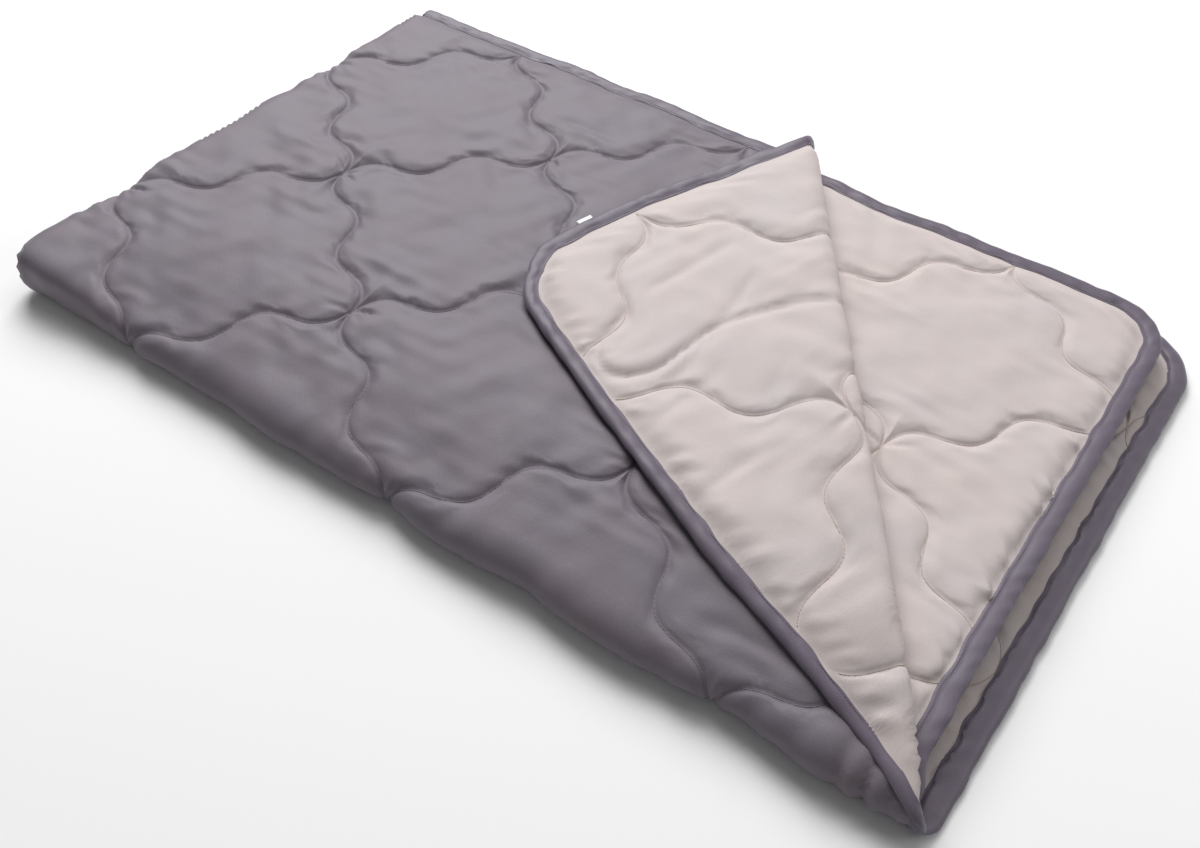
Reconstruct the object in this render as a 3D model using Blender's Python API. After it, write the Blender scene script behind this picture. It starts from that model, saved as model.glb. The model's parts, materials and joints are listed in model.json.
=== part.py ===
"""A camping quilt, folded in four with one corner turned back.

The quilt is one padded sheet: grey face fabric, batting, cream lining, and a tape binding round
its edge. It is folded across its length at the left end, then along its width at the near side,
so four layers lie on each other. The right end and the back side show the open, bound edges.
Layers 1 and 2, counted from the floor, make the lower half, and 3 and 4 the upper half. The
corner of layer 4 is turned back over a loose roll.

Every length is in metres. x runs from the left fold to the right end, y from the near fold to
the back edge and z up from the floor. The origin lies under the middle of the folded quilt.
"""

from math import atan2, ceil, cos, pi, radians, sin

import bmesh
import bpy
from mathutils import Matrix, Vector

# Folded block
LENGTH = 1.12                       # left fold to layer 1's end, before its corner is rounded
WIDTH = 0.70                        # near fold to the back edge
END_NEAR = 1.100                    # where the outer wrap's right end lies at the near fold
END_INNER = 1.085                   # right end of layers 2 and 3, and of layer 4 before it turns
CORNER_RADIUS = 0.075

# Through one layer
GAP = 0.0003
FABRIC = 0.0012
BATTING = 0.0106
LAYER = 2 * FABRIC + BATTING + 2 * GAP
PITCH = LAYER + 0.0004              # from one layer's underside to the next
TAPE = 0.0012
BINDING = 0.020                     # width of the tape on each side of the edge

# Folds: each axis runs through the middle of the layers that turn about it
END_AXIS = (PITCH + LAYER) / 2      # its x, and its height above the lower of its two layers
NEAR_AXIS = (3 * PITCH + LAYER) / 2     # its y, and its height above the floor

# Turned corner: the crease runs from the near fold up to the back edge
CREASE_START = Vector((1.074, 0.028))
CREASE = Vector((-0.565, 0.825)).normalized()
OUTWARDS = Vector((CREASE.y, -CREASE.x))
CREASE_RADIUS = 0.013               # from the crease's axis to the middle of the layer
CREASE_HEIGHT = 3 * PITCH + LAYER / 2 + CREASE_RADIUS
FLAP_TILT = radians(1.8)            # the turned corner slopes down to rest on layer 4
ROLL_START = 0.012                  # along the crease's axis
ROLL_STOP = 0.800

# Quilting: two families of waved lines that cross on a diagonal lattice
CELL = Vector((0.180, 0.175))       # from one crossing to the next, in x and in y
FIRST_CROSSING = Vector((0.006, 0.155))
WAVE = 0.0125
WAVES_PER_SIDE = 2
STEPS_PER_SIDE = 12
THREAD_WIDTH = 0.0014
THREAD_HEIGHT = 0.0006
LINE_SIDES = 12                     # sides of the lattice that every line runs along
LINES = range(-3, 7)
THREAD_MARGIN = BINDING + 0.003
SHORTEST_RUN = 10                   # steps of a line that are worth stitching

LABEL_WIDTH = 0.020
LABEL_LENGTH = 0.030
LABEL_THICKNESS = 0.0006
LABEL_PLACE = 0.127                 # from the flap's corner along its long edge
LABEL_OUTSIDE = 0.009               # how far its end shows past the edge

HALF_TURN_STEPS = 12

COLOURS = {
    "face_fabric": (0.278, 0.251, 0.287, 1.0),
    "lining_fabric": (0.604, 0.558, 0.546, 1.0),
    "batting": (0.80, 0.80, 0.78, 1.0),
    "binding_tape": (0.235, 0.208, 0.240, 1.0),
    "face_thread": (0.190, 0.160, 0.190, 1.0),
    "label_satin": (0.86, 0.86, 0.86, 1.0),
}
ROUGHNESS = {"face_fabric": 0.5, "binding_tape": 0.45, "label_satin": 0.4}
THICKNESS = {"face_fabric": FABRIC, "batting": BATTING, "lining_fabric": FABRIC}
# How far each sheet stays inside a bound edge: the tape's legs take the place of the fabrics
BOUND_INSET = {
    "face_fabric": BINDING + GAP,
    "batting": TAPE + GAP,
    "lining_fabric": BINDING + GAP,
}


# ---------------------------------------------------------------- scene and materials

def make_collection(name):
    collection = bpy.data.collections.new(name)
    bpy.context.scene.collection.children.link(collection)
    return collection


def make_material(name, kind):
    material = bpy.data.materials.new(f"{name}_{kind}")
    material.use_nodes = True
    shader = material.node_tree.nodes["Principled BSDF"]
    shader.inputs["Base Color"].default_value = COLOURS[kind]
    shader.inputs["Roughness"].default_value = ROUGHNESS.get(kind, 0.9)
    shader.inputs["Metallic"].default_value = 0.0
    return material


def add_empty(name, location, rotation=(0, 0, 0), parent=None):
    empty = bpy.data.objects.new(name, None)
    empty.empty_display_size = 0.05
    quilt.objects.link(empty)
    empty.parent = parent
    empty.location = location
    empty.rotation_euler = rotation
    return empty


def add_part(name, data, kind, parent, location=(0, 0, 0), rotation=(0, 0, 0)):
    """One piece of the quilt with a material of its own, hung on the empty that moves it."""
    part = bpy.data.objects.new(name, data)
    quilt.objects.link(part)
    part.parent = parent
    part.location = location
    part.rotation_euler = rotation
    part.data.materials.append(make_material(name, kind))
    return part


# ---------------------------------------------------------------- outlines

def crossing(first, second):
    """Where two lines meet, each given as a point and a direction."""
    (p, d), (q, e) = first, second
    reach = ((q.x - p.x) * e.y - (q.y - p.y) * e.x) / (d.x * e.y - d.y * e.x)
    return p + reach * d


def inwards(direction):
    return Vector((-direction.y, direction.x))


def rounded(corner, before, after, radius):
    """Points on the arc that rounds a left-hand corner between two edge directions."""
    turn = before.angle(after)
    start = corner - radius * (1 - cos(turn)) / sin(turn) * before
    centre = start + radius * inwards(before)
    steps = ceil(HALF_TURN_STEPS * turn / pi)
    spoke = start - centre
    return [centre + Matrix.Rotation(turn * i / steps, 2) @ spoke for i in range(steps + 1)]


def outline(edges, insets, round_at=None):
    """Corners of the panel inside its edges, counter-clockwise, each edge moved in by its inset.

    Corner i lies between edge i and the next one. Corner round_at becomes an arc.
    """
    moved = [(point + inset * inwards(way), way) for (point, way), inset in zip(edges, insets)]
    points = []
    for i, edge in enumerate(moved):
        following = moved[(i + 1) % len(moved)]
        corner = crossing(edge, following)
        if i == round_at:
            points += rounded(corner, edge[1], following[1], CORNER_RADIUS - insets[i])
        else:
            points.append(corner)
    return points


def layer_edges(right_near, right_back):
    """Near, right, back and left edge of a whole layer. Its right end may lie askew."""
    near = (Vector((0, NEAR_AXIS)), Vector((1, 0)))
    right_way = Vector((right_back - right_near, WIDTH - NEAR_AXIS)).normalized()
    right = (Vector((right_back, WIDTH)), right_way)
    back = (Vector((0, WIDTH)), Vector((-1, 0)))
    left = (Vector((END_AXIS, 0)), Vector((0, -1)))
    return [near, right, back, left]


def on_flap(point):
    """A point of flat layer 4, as (along the crease, across the flap) once it is turned back."""
    reach = point - CREASE_START
    return Vector((reach.dot(CREASE), reach.dot(OUTWARDS) - pi * CREASE_RADIUS))


FLAP_CORNER = on_flap(Vector((END_INNER, WIDTH)))
LONG_WAY = Vector((CREASE.x, OUTWARDS.x))       # along the back edge, towards the corner
SHORT_WAY = Vector((-CREASE.y, -OUTWARDS.y))    # along the right end, away from the corner
FLAP_EDGES = [
    (Vector((0, 0)), Vector((1, 0))),
    (FLAP_CORNER, LONG_WAY),
    (FLAP_CORNER, SHORT_WAY),
]
CREASE_EDGE = (CREASE_START, CREASE)


# ---------------------------------------------------------------- solids

def add_plate(name, points, low, thickness, kind, parent, hang=(0, 0, 0)):
    """A flat sheet: its outline as a filled 2D curve, extruded half its thickness each way."""
    curve = bpy.data.curves.new(name, "CURVE")
    curve.dimensions = "2D"
    curve.fill_mode = "BOTH"
    curve.extrude = thickness / 2
    spline = curve.splines.new("POLY")
    spline.points.add(len(points) - 1)
    spline.use_cyclic_u = True
    for place, point in zip(spline.points, points):
        place.co = (point.x - hang[0], point.y - hang[1], 0, 1)
    return add_part(name, curve, kind, parent, (0, 0, low + thickness / 2 - hang[2]))


def finished(bm, name):
    bmesh.ops.recalc_face_normals(bm, faces=bm.faces)
    mesh = bpy.data.meshes.new(name)
    bm.to_mesh(mesh)
    bm.free()
    mesh.shade_smooth()
    mesh.set_sharp_from_angle(angle=radians(35))
    return mesh


def turned(name, section, centre, axis, angle):
    """A flat section turned about a fold's axis."""
    bm = bmesh.new()
    face = bm.faces.new([bm.verts.new(point) for point in section])
    steps = ceil(HALF_TURN_STEPS * abs(angle) / pi)
    bmesh.ops.spin(bm, geom=[face], cent=centre, axis=axis, angle=angle, steps=steps)
    return finished(bm, name)


def lofted(bm, sections):
    """Adds the closed solid that runs through sections with the same number of points."""
    rings = [[bm.verts.new(point) for point in section] for section in sections]
    for ring, following in zip(rings, rings[1:]):
        for i in range(len(ring)):
            j = (i + 1) % len(ring)
            bm.faces.new((ring[i], ring[j], following[j], following[i]))
    bm.faces.new(reversed(rings[0]))
    bm.faces.new(rings[-1])


def channel_section(place):
    """The tape round an edge, as eight corners. place(inset, height) gives a point in space."""
    top = LAYER - TAPE
    corners = [(0, 0), (BINDING, 0), (BINDING, TAPE), (TAPE, TAPE)]
    corners += [(TAPE, top), (BINDING, top), (BINDING, LAYER), (0, LAYER)]
    return [place(inset, height) for inset, height in corners]


def add_binding(name, edges, bound, path, low, parent, hang=(0, 0, 0), round_at=None):
    """Tape along the bound edges. path picks those corners of the outline that it passes."""
    rails = {}
    for inset in (0, TAPE, BINDING):
        insets = [inset if tape else GAP for tape in bound]
        rails[inset] = outline(edges, insets, round_at)[path]

    def section(i):
        def place(inset, height):
            x, y = rails[inset][i]
            return Vector((x, y, low + height)) - Vector(hang)
        return channel_section(place)

    bm = bmesh.new()
    lofted(bm, [section(i) for i in range(len(rails[0]))])
    return add_part(name, finished(bm, name), "binding_tape", parent)


# ---------------------------------------------------------------- layers and folds

def sheet_low(kind, face_below):
    """Height of a sheet's underside above its layer's."""
    if kind == "batting":
        return FABRIC + GAP
    return 0 if (kind == "face_fabric") == face_below else LAYER - FABRIC


def add_layer(number, edges, bound, face_below, parent, hang, round_at):
    """The three sheets of one flat layer."""
    low = (number - 1) * PITCH
    for kind, thickness in THICKNESS.items():
        insets = [BOUND_INSET[kind] if tape else GAP for tape in bound]
        sheet = low + sheet_low(kind, face_below)
        points = outline(edges, insets, round_at)
        add_plate(f"layer{number}_{kind}", points, sheet, thickness, kind, parent, hang)


def add_near_wrap(name, low, face_below, right):
    """The near fold's turn of one layer, from its place at the bottom up to its place on top."""
    centre = (0, NEAR_AXIS, NEAR_AXIS)
    for kind, thickness in THICKNESS.items():
        floor = low + sheet_low(kind, face_below)
        stop = right - BOUND_INSET[kind]
        section = [(0, NEAR_AXIS, floor), (stop, NEAR_AXIS, floor)]
        section += [(stop, NEAR_AXIS, floor + thickness), (0, NEAR_AXIS, floor + thickness)]
        mesh = turned(f"{name}_{kind}", section, centre, (1, 0, 0), -pi)
        add_part(f"{name}_{kind}", mesh, kind, lower_half)
    section = channel_section(lambda inset, height: (right - inset, NEAR_AXIS, low + height))
    mesh = turned(f"{name}_binding", section, centre, (1, 0, 0), -pi)
    add_part(f"{name}_binding", mesh, "binding_tape", lower_half)


def add_end_fold(name, low, parent, hang):
    """The left end's turn from one layer to the one above it, with the face fabric outside."""
    x = END_AXIS - hang[0]
    start = NEAR_AXIS + GAP - hang[1]
    back = WIDTH - hang[1]
    base = low - hang[2]
    centre = (x, 0, base + END_AXIS)
    for kind, thickness in THICKNESS.items():
        floor = base + sheet_low(kind, True)
        stop = back - BOUND_INSET[kind]
        section = [(x, start, floor), (x, stop, floor)]
        section += [(x, stop, floor + thickness), (x, start, floor + thickness)]
        mesh = turned(f"{name}_{kind}", section, centre, (0, 1, 0), pi)
        add_part(f"{name}_{kind}", mesh, kind, parent)
    section = channel_section(lambda inset, height: (x, back - inset, base + height))
    mesh = turned(f"{name}_binding", section, centre, (0, 1, 0), pi)
    add_part(f"{name}_binding", mesh, "binding_tape", parent)


def add_crease_roll():
    """The loose roll between layer 4 and the turned corner, with the lining outside."""
    inside = CREASE_RADIUS - LAYER / 2
    lean = Matrix.Rotation(FLAP_TILT, 3, "X")

    def tilted(points):
        return [lean @ Vector((x, 0, -inside - height)) for x, height in points]

    def add_turn(name, points, kind):
        mesh = turned(name, tilted(points), (0, 0, 0), (1, 0, 0), -pi - FLAP_TILT)
        add_part(name, mesh, kind, crease_hinge)

    for kind, thickness in THICKNESS.items():
        start = ROLL_START + BOUND_INSET[kind]
        stop = ROLL_STOP - BOUND_INSET[kind]
        low = sheet_low(kind, True)
        points = [(start, low), (stop, low), (stop, low + thickness), (start, low + thickness)]
        add_turn(f"crease_roll_{kind}", points, kind)
    front = channel_section(lambda inset, height: (ROLL_START + inset, height))
    back = channel_section(lambda inset, height: (ROLL_STOP - inset, height))
    add_turn("crease_roll_binding_front", front, "binding_tape")
    add_turn("crease_roll_binding_back", back, "binding_tape")


def add_flap():
    """The turned corner, flat in the crease's own frame: x along the crease, y across the flap."""
    inside = CREASE_RADIUS - LAYER / 2
    bound = [False, True, True]
    for kind, thickness in THICKNESS.items():
        insets = [BOUND_INSET[kind] if tape else GAP for tape in bound]
        low = inside + sheet_low(kind, True)
        points = outline(FLAP_EDGES, insets, 1)
        add_plate(f"flap_{kind}", points, low, thickness, kind, crease_hinge)
    whole = slice(None)
    add_binding("flap_binding", FLAP_EDGES, bound, whole, inside, crease_hinge, round_at=1)


def add_label():
    """A blank sewn-in label that lies under the turned corner and shows past its long edge."""
    away = Vector((-LONG_WAY.y, LONG_WAY.x)) * -1
    edge = FLAP_CORNER - LABEL_PLACE * LONG_WAY
    half = LABEL_WIDTH / 2 * LONG_WAY
    outer = edge + LABEL_OUTSIDE * away
    inner = outer - LABEL_LENGTH * away
    points = [inner - half, outer - half, outer + half, inner + half]
    low = CREASE_RADIUS - LAYER / 2 - GAP - LABEL_THICKNESS
    add_plate("care_label", points, low, LABEL_THICKNESS, "label_satin", crease_hinge)


# ---------------------------------------------------------------- quilting thread

def waved_line(start, side, sign):
    """Points along a stitched line that waves about its straight run across the lattice."""
    sideways = inwards(side).normalized()
    points = []
    for i in range(LINE_SIDES * STEPS_PER_SIDE + 1):
        share = i / STEPS_PER_SIDE
        bulge = sign * WAVE * sin(2 * pi * WAVES_PER_SIDE * share)
        points.append(start + share * side + bulge * sideways)
    return points


def runs_inside(points, edges):
    """The stretches of a line that keep the thread's margin inside every edge."""
    runs = [[]]
    for point in points:
        depth = min((point - base).dot(inwards(way)) for base, way in edges)
        if depth > THREAD_MARGIN:
            runs[-1].append(point)
        elif runs[-1]:
            runs.append([])
    return [run for run in runs if len(run) > SHORTEST_RUN]


def add_ribbon(bm, points, low):
    """One line of stitching as a flat ribbon that lies on the fabric."""
    high = low + THREAD_HEIGHT
    sections = []
    for i, point in enumerate(points):
        way = (points[min(i + 1, len(points) - 1)] - points[max(i - 1, 0)]).normalized()
        side = THREAD_WIDTH / 2 * inwards(way)
        left, right = point + side, point - side
        sections.append([(*left, low), (*right, low), (*right, high), (*left, high)])
    lofted(bm, sections)


def add_thread_network(name, edges, low, parent, hang):
    """The quilting lines of both families inside a panel, united into one network."""
    families = []
    for sign in (-1, 1):
        bm = bmesh.new()
        side = Vector((CELL.x, sign * CELL.y))
        for i in LINES:
            first = FIRST_CROSSING + Vector((2 * i * CELL.x, 0)) - LINE_SIDES // 2 * side
            for run in runs_inside(waved_line(first, side, sign), edges):
                add_ribbon(bm, [point - Vector(hang[:2]) for point in run], low - hang[2])
        families.append(finished(bm, name))
    part = add_part(name, families[0], "face_thread", parent)
    crossers = bpy.data.objects.new(f"{name}_crossing_lines", families[1])
    cutters.objects.link(crossers)
    crossers.parent = parent
    crossers.hide_render = True
    crossers.display_type = "WIRE"
    union = part.modifiers.new("one network", "BOOLEAN")
    union.operation = "UNION"
    union.object = crossers


# ---------------------------------------------------------------- the quilt

for old in list(bpy.data.objects):
    bpy.data.objects.remove(old, do_unlink=True)
quilt = make_collection("camp_quilt")
cutters = make_collection("cutters")

OPEN_EDGES = [False, True, True, False]
outer_edges = layer_edges(END_NEAR, LENGTH)
inner_edges = layer_edges(END_INNER, END_INNER)
top_edges = [inner_edges[0], CREASE_EDGE, inner_edges[2], inner_edges[3]]
furthest_x = max(point.x for point in outline(outer_edges, [0, 0, 0, 0], 1))

NEAR_HANG = (0, NEAR_AXIS, NEAR_AXIS)
lower_half = add_empty("lower_half", (-furthest_x / 2, -WIDTH / 2, 0))
near_hinge = add_empty("near_fold_hinge", NEAR_HANG, parent=lower_half)
crease_place = (CREASE_START.x, CREASE_START.y - NEAR_AXIS, CREASE_HEIGHT - NEAR_AXIS)
crease_turn = (-FLAP_TILT, 0, atan2(CREASE.y, CREASE.x))
crease_hinge = add_empty("crease_hinge", crease_place, crease_turn, near_hinge)

open_path = slice(0, -1)

for number, edges, face_below, parent, hang in (
    (1, outer_edges, True, lower_half, (0, 0, 0)),
    (2, inner_edges, False, lower_half, (0, 0, 0)),
    (3, inner_edges, True, near_hinge, NEAR_HANG),
):
    low = (number - 1) * PITCH
    add_layer(number, edges, OPEN_EDGES, face_below, parent, hang, 1)
    name = f"layer{number}_binding"
    add_binding(name, edges, OPEN_EDGES, open_path, low, parent, hang, 1)

BACK_ONLY = [False, False, True, False]
add_layer(4, top_edges, BACK_ONLY, False, near_hinge, NEAR_HANG, None)
back_path = slice(1, 3)
add_binding("layer4_binding", top_edges, BACK_ONLY, back_path, 3 * PITCH, near_hinge, NEAR_HANG)

add_near_wrap("near_fold_outer", 0, True, END_NEAR)
add_near_wrap("near_fold_inner", PITCH, False, END_INNER)
add_end_fold("end_fold_lower", 0, lower_half, (0, 0, 0))
add_end_fold("end_fold_upper", 2 * PITCH, near_hinge, NEAR_HANG)
add_crease_roll()
add_flap()
add_label()

thread_low = 3 * PITCH + LAYER + GAP
add_thread_network("layer4_quilting_thread", top_edges, thread_low, near_hinge, NEAR_HANG)
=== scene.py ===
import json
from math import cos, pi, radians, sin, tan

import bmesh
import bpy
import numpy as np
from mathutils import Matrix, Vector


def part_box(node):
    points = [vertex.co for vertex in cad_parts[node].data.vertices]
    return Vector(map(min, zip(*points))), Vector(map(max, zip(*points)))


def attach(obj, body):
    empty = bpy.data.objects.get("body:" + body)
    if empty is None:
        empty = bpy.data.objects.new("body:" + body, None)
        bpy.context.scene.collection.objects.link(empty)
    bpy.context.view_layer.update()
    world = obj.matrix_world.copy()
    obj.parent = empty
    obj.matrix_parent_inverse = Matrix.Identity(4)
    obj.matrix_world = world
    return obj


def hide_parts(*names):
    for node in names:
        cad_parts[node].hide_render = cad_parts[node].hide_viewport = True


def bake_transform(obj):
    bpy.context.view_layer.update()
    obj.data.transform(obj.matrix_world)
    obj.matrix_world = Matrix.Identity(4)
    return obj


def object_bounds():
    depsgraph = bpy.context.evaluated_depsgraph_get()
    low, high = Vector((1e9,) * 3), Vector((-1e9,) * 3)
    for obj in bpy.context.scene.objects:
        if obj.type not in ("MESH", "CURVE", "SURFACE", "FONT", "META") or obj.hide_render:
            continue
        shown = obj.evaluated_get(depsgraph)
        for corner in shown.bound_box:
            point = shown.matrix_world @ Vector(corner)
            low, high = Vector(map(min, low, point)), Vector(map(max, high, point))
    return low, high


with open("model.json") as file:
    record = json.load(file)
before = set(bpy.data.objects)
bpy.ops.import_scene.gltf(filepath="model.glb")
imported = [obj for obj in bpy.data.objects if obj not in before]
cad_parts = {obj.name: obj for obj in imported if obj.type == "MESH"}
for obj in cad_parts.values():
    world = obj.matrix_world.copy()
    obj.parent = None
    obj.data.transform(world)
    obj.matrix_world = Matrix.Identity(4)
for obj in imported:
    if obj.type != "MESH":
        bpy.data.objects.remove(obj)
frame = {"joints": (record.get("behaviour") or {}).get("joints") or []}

# A padded camping quilt, folded in four, with its top corner turned back over a loose roll.
#
# The whole quilt is laid out flat first. U runs across its length and V along its width, both in
# metres, with the face fabric up. U is 0 and V is 0 near the folds, where layer 4, the top one,
# begins. Negative U is the half that folds under at the left end, and negative V the half that
# folds under at the near side. Stitched lines cross on a diagonal lattice, and (u, v) counts
# lattice cells, so a stitched line has a whole number for u or for v. Each cloth is a grid in
# (u, v), puffed by a cloth simulation of a few cells, and then carried through the folds.

cad_low, cad_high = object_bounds()

# ---------------------------------------------------------------- sizes from the frame

CORNER = Vector((cad_low.x, cad_low.y, 0))      # the left near corner, where U and V start
JOINTS = {joint["name"]: joint for joint in frame["joints"]}
NEAR_HINGE = Vector(JOINTS["near_fold"]["pos_m"]) - CORNER
CREASE_HINGE = Vector(JOINTS["corner_fold"]["pos_m"]) - CORNER

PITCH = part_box("layer4_batting")[0].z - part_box("layer3_batting")[0].z
FOLD_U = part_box("layer4_face_fabric")[0].x - CORNER.x   # where the left end fold starts on layer 4
FOLD_V = NEAR_HINGE.y                           # where the near fold starts on layer 4
END_RADIUS = PITCH / 2                          # from each fold's axis to what turns about it
NEAR_RADIUS = PITCH
OUTER_RADIUS = NEAR_RADIUS + END_RADIUS
END_ARC = pi * END_RADIUS
FOLD_END_U = FOLD_U - END_ARC                   # where layer 3 starts
WIDTH = cad_high.y - cad_low.y

RIGHT_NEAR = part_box("near_fold_outer_binding")[1].x - CORNER.x
RIGHT_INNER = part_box("near_fold_inner_binding")[1].x - CORNER.x
RIGHT_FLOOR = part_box("layer1_binding")[1].x - CORNER.x + 0.004     # layer 1's corner, before it is rounded
LEFT_U = FOLD_U + FOLD_END_U - RIGHT_INNER      # layer 3's right end, laid out flat
RUN_BACK = WIDTH - FOLD_V                       # from the near fold to the back edge
NEAR_RUN = pi * NEAR_RADIUS
BACK_UPPER = -RUN_BACK                          # T of the back edges, see run_of
BACK_LOWER = NEAR_RUN + RUN_BACK
CORNER_RADIUS = 0.075
TAPE_WIDTH = 0.020

CREASE_START = Vector((CREASE_HINGE.x, CREASE_HINGE.y))
CREASE = Vector(JOINTS["corner_fold"]["axis"][:2]).normalized()
OUTWARDS = Vector((CREASE.y, -CREASE.x))
CREASE_REACH = 0.814                            # along the crease to the back edge
ROLL_SHEET = 0.052                              # how much of the sheet the roll takes up

# ---------------------------------------------------------------- sizes of cloth and stitch

CROSSING = Vector((0.006, 0.155))               # a crossing of two stitched lines
SIDE_U = Vector((0.180, 0.175))                 # one lattice side along u, and one along v
SIDE_V = Vector((0.180, -0.175))
ACROSS_U = Vector((-0.175, 0.180)).normalized()
ACROSS_V = Vector((0.175, 0.180)).normalized()
WAVE = 0.0125                                   # how far a line sways to each side
WAVES = 2                                       # whole waves on one lattice side

FINE = 60                                       # grid steps on a lattice side
MEDIUM = 30
COARSE = 15
GRADING = 0.4                                   # how much closer the grid is near the lines

FABRIC = 0.0005
PINCHED = 0.0013                                # half the quilt's thickness at a stitched line
SEWN_IN = 0.0014                                # and where the tape is sewn on
FREE = 0.0095                                   # height of a free puff above the middle
CONTACT = 0.0066                                # and of one that lies against another layer
PUFF_ROUND = 0.0135                             # how far from a line a puff rounds over
EDGE_ROUND = 0.026                              # and from the tape
RISE_START = 0.0012                             # the fabric starts to rise this far inside the tape
FABRIC_EDGE = 0.008                             # the fabrics run into the tape this close to the edge

STITCH = 0.0034
THREAD_RADIUS = 0.00052
FLOOR_GAP = 0.002                               # puffs that would sink lower flatten out on the floor
LINING_WRINKLES = 0.75                          # the lining wrinkles less than the face
SIM_CELLS = 3                                   # the simulated block is this many cells each way
SIM_FRAMES = 14
SPARE_CLOTH = 0.014                             # the share by which a cell's cloth is too large


def smooth_step(t):
    """0 below 0, 1 above 1 and a soft rise between."""
    clipped = np.clip(t, 0, 1)
    return clipped * clipped * (3 - 2 * clipped)


def ripple(x, y, length, seed, waves=7):
    """Gentle irregular waves of about that length, between roughly -1.5 and 1.5."""
    draw = np.random.default_rng(seed)
    total = np.zeros_like(np.asarray(x, float) + np.asarray(y, float))
    for _ in range(waves):
        each = length * draw.uniform(0.7, 1.5)
        turn, shift = draw.uniform(0, 2 * pi, 2)
        total += np.sin(2 * pi * (x * np.cos(turn) + y * np.sin(turn)) / each + shift)
    return total / np.sqrt(waves / 2)


# ---------------------------------------------------------------- the lattice, laid out flat

def graded(u):
    """Draws a cell's grid closer to its stitched lines."""
    return u - GRADING * np.sin(2 * pi * u) / (2 * pi)


def sway_share(t):
    """The lines' sway is carried into a cell and is least in its middle."""
    return 0.25 + 0.75 * np.cos(pi * t) ** 2


def flat_place(u, v):
    """(U, V) of lattice place (u, v)."""
    a, b = graded(u), graded(v)
    sway_u = WAVE * np.sin(2 * pi * WAVES * a) * sway_share(b)
    sway_v = -WAVE * np.sin(2 * pi * WAVES * b) * sway_share(a)
    across = CROSSING.x + a * SIDE_U.x + b * SIDE_V.x + sway_u * ACROSS_U.x + sway_v * ACROSS_V.x
    along = CROSSING.y + a * SIDE_U.y + b * SIDE_V.y + sway_u * ACROSS_U.y + sway_v * ACROSS_V.y
    return across, along


def lattice_box(corners):
    """The lattice numbers that enclose flat corners, with room for the lines' sway."""
    us, vs = [], []
    for across, along in corners:
        p, q = (across - CROSSING.x) / SIDE_U.x, (along - CROSSING.y) / SIDE_U.y
        us.append((p + q) / 2)
        vs.append((p - q) / 2)
    margin = 0.12
    return min(us) - margin, max(us) + margin, min(vs) - margin, max(vs) + margin


# ---------------------------------------------------------------- folds

def turn_of_end(U):
    """How far the left end fold has turned, from 0 on layer 4 to half a turn on layer 3."""
    return np.clip((FOLD_U - U) / END_RADIUS, 0, pi)


def run_of(U, V):
    """T, the way from the near fold's start: below 0 on the upper half, past NEAR_RUN on the lower."""
    ahead = FOLD_V - V
    radius = NEAR_RADIUS + END_RADIUS * np.cos(turn_of_end(U))
    turning = np.clip(ahead, 0, pi * radius)
    past = np.maximum(ahead - pi * radius, 0)
    return np.minimum(ahead, 0) + turning * NEAR_RADIUS / radius + past


def crease_place(U, V):
    """(along the crease, beyond it)."""
    p = (U - CREASE_START.x) * CREASE.x + (V - CREASE_START.y) * CREASE.y
    q = (U - CREASE_START.x) * OUTWARDS.x + (V - CREASE_START.y) * OUTWARDS.y
    return p, q


FLAP_CORNER = (0.5454, 0.352)                   # the turned corner, before it is rounded
LONG_BOW = 0.026                                # how far the flap's two edges bow outwards
SHORT_BOW = 0.017
LONG_WAY = (0.79, 0.61)                         # and which way, along the crease and away from it
SHORT_WAY = (-0.54, 0.84)
TIP_ROLL = 0.0042                               # the roll's radius at its near tip
ROLL_GROWTH = 0.0115                            # and how much more it is at the back edge
ROLL_OVAL = 0.75                                # the roll is narrower than it is high
ROLL_LEAD = 0.5                                 # it starts this share of its radius before the crease
SNUG = 0.62                                     # how much of the roll's radius the puffs inside may fill
FLAP_REST = 0.0142                              # how high the turned corner lies above layer 4's middle
FLAP_SLIDE = 0.036                              # how far its cloth slides along the crease


def roll_radius(p):
    """The roll is tight at the near tip and loose at the back edge."""
    share = np.clip((p + 0.05) / (CREASE_REACH + 0.05), 0, 1)
    return TIP_ROLL + ROLL_GROWTH * np.sqrt(share) * smooth_step(share * 2.2)


def flap_reach(p):
    """How far the turned corner reaches back from its roll, at p along the crease."""
    near = FLAP_CORNER[1] * p / FLAP_CORNER[0]
    back = FLAP_CORNER[1] * (CREASE_REACH - p) / (CREASE_REACH - FLAP_CORNER[0])
    return np.minimum(near, back)


def flap_bow(p, s):
    """The soft stretch that bows the turned corner's edges outwards."""
    reach = np.maximum(flap_reach(p), 0.03)
    share = smooth_step(s / reach) * np.clip(s / 0.05, 0, 1)
    near = np.clip(p / FLAP_CORNER[0], 0, 1)
    back = np.clip((CREASE_REACH - p) / (CREASE_REACH - FLAP_CORNER[0]), 0, 1)
    short = SHORT_BOW * np.sin(pi * near) * (p < FLAP_CORNER[0])
    long = LONG_BOW * np.sin(pi * back) ** 0.8 * (p >= FLAP_CORNER[0])
    along = share * (SHORT_WAY[0] * short + LONG_WAY[0] * long)
    outwards = share * (SHORT_WAY[1] * short + LONG_WAY[1] * long)
    return along, outwards


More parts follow.
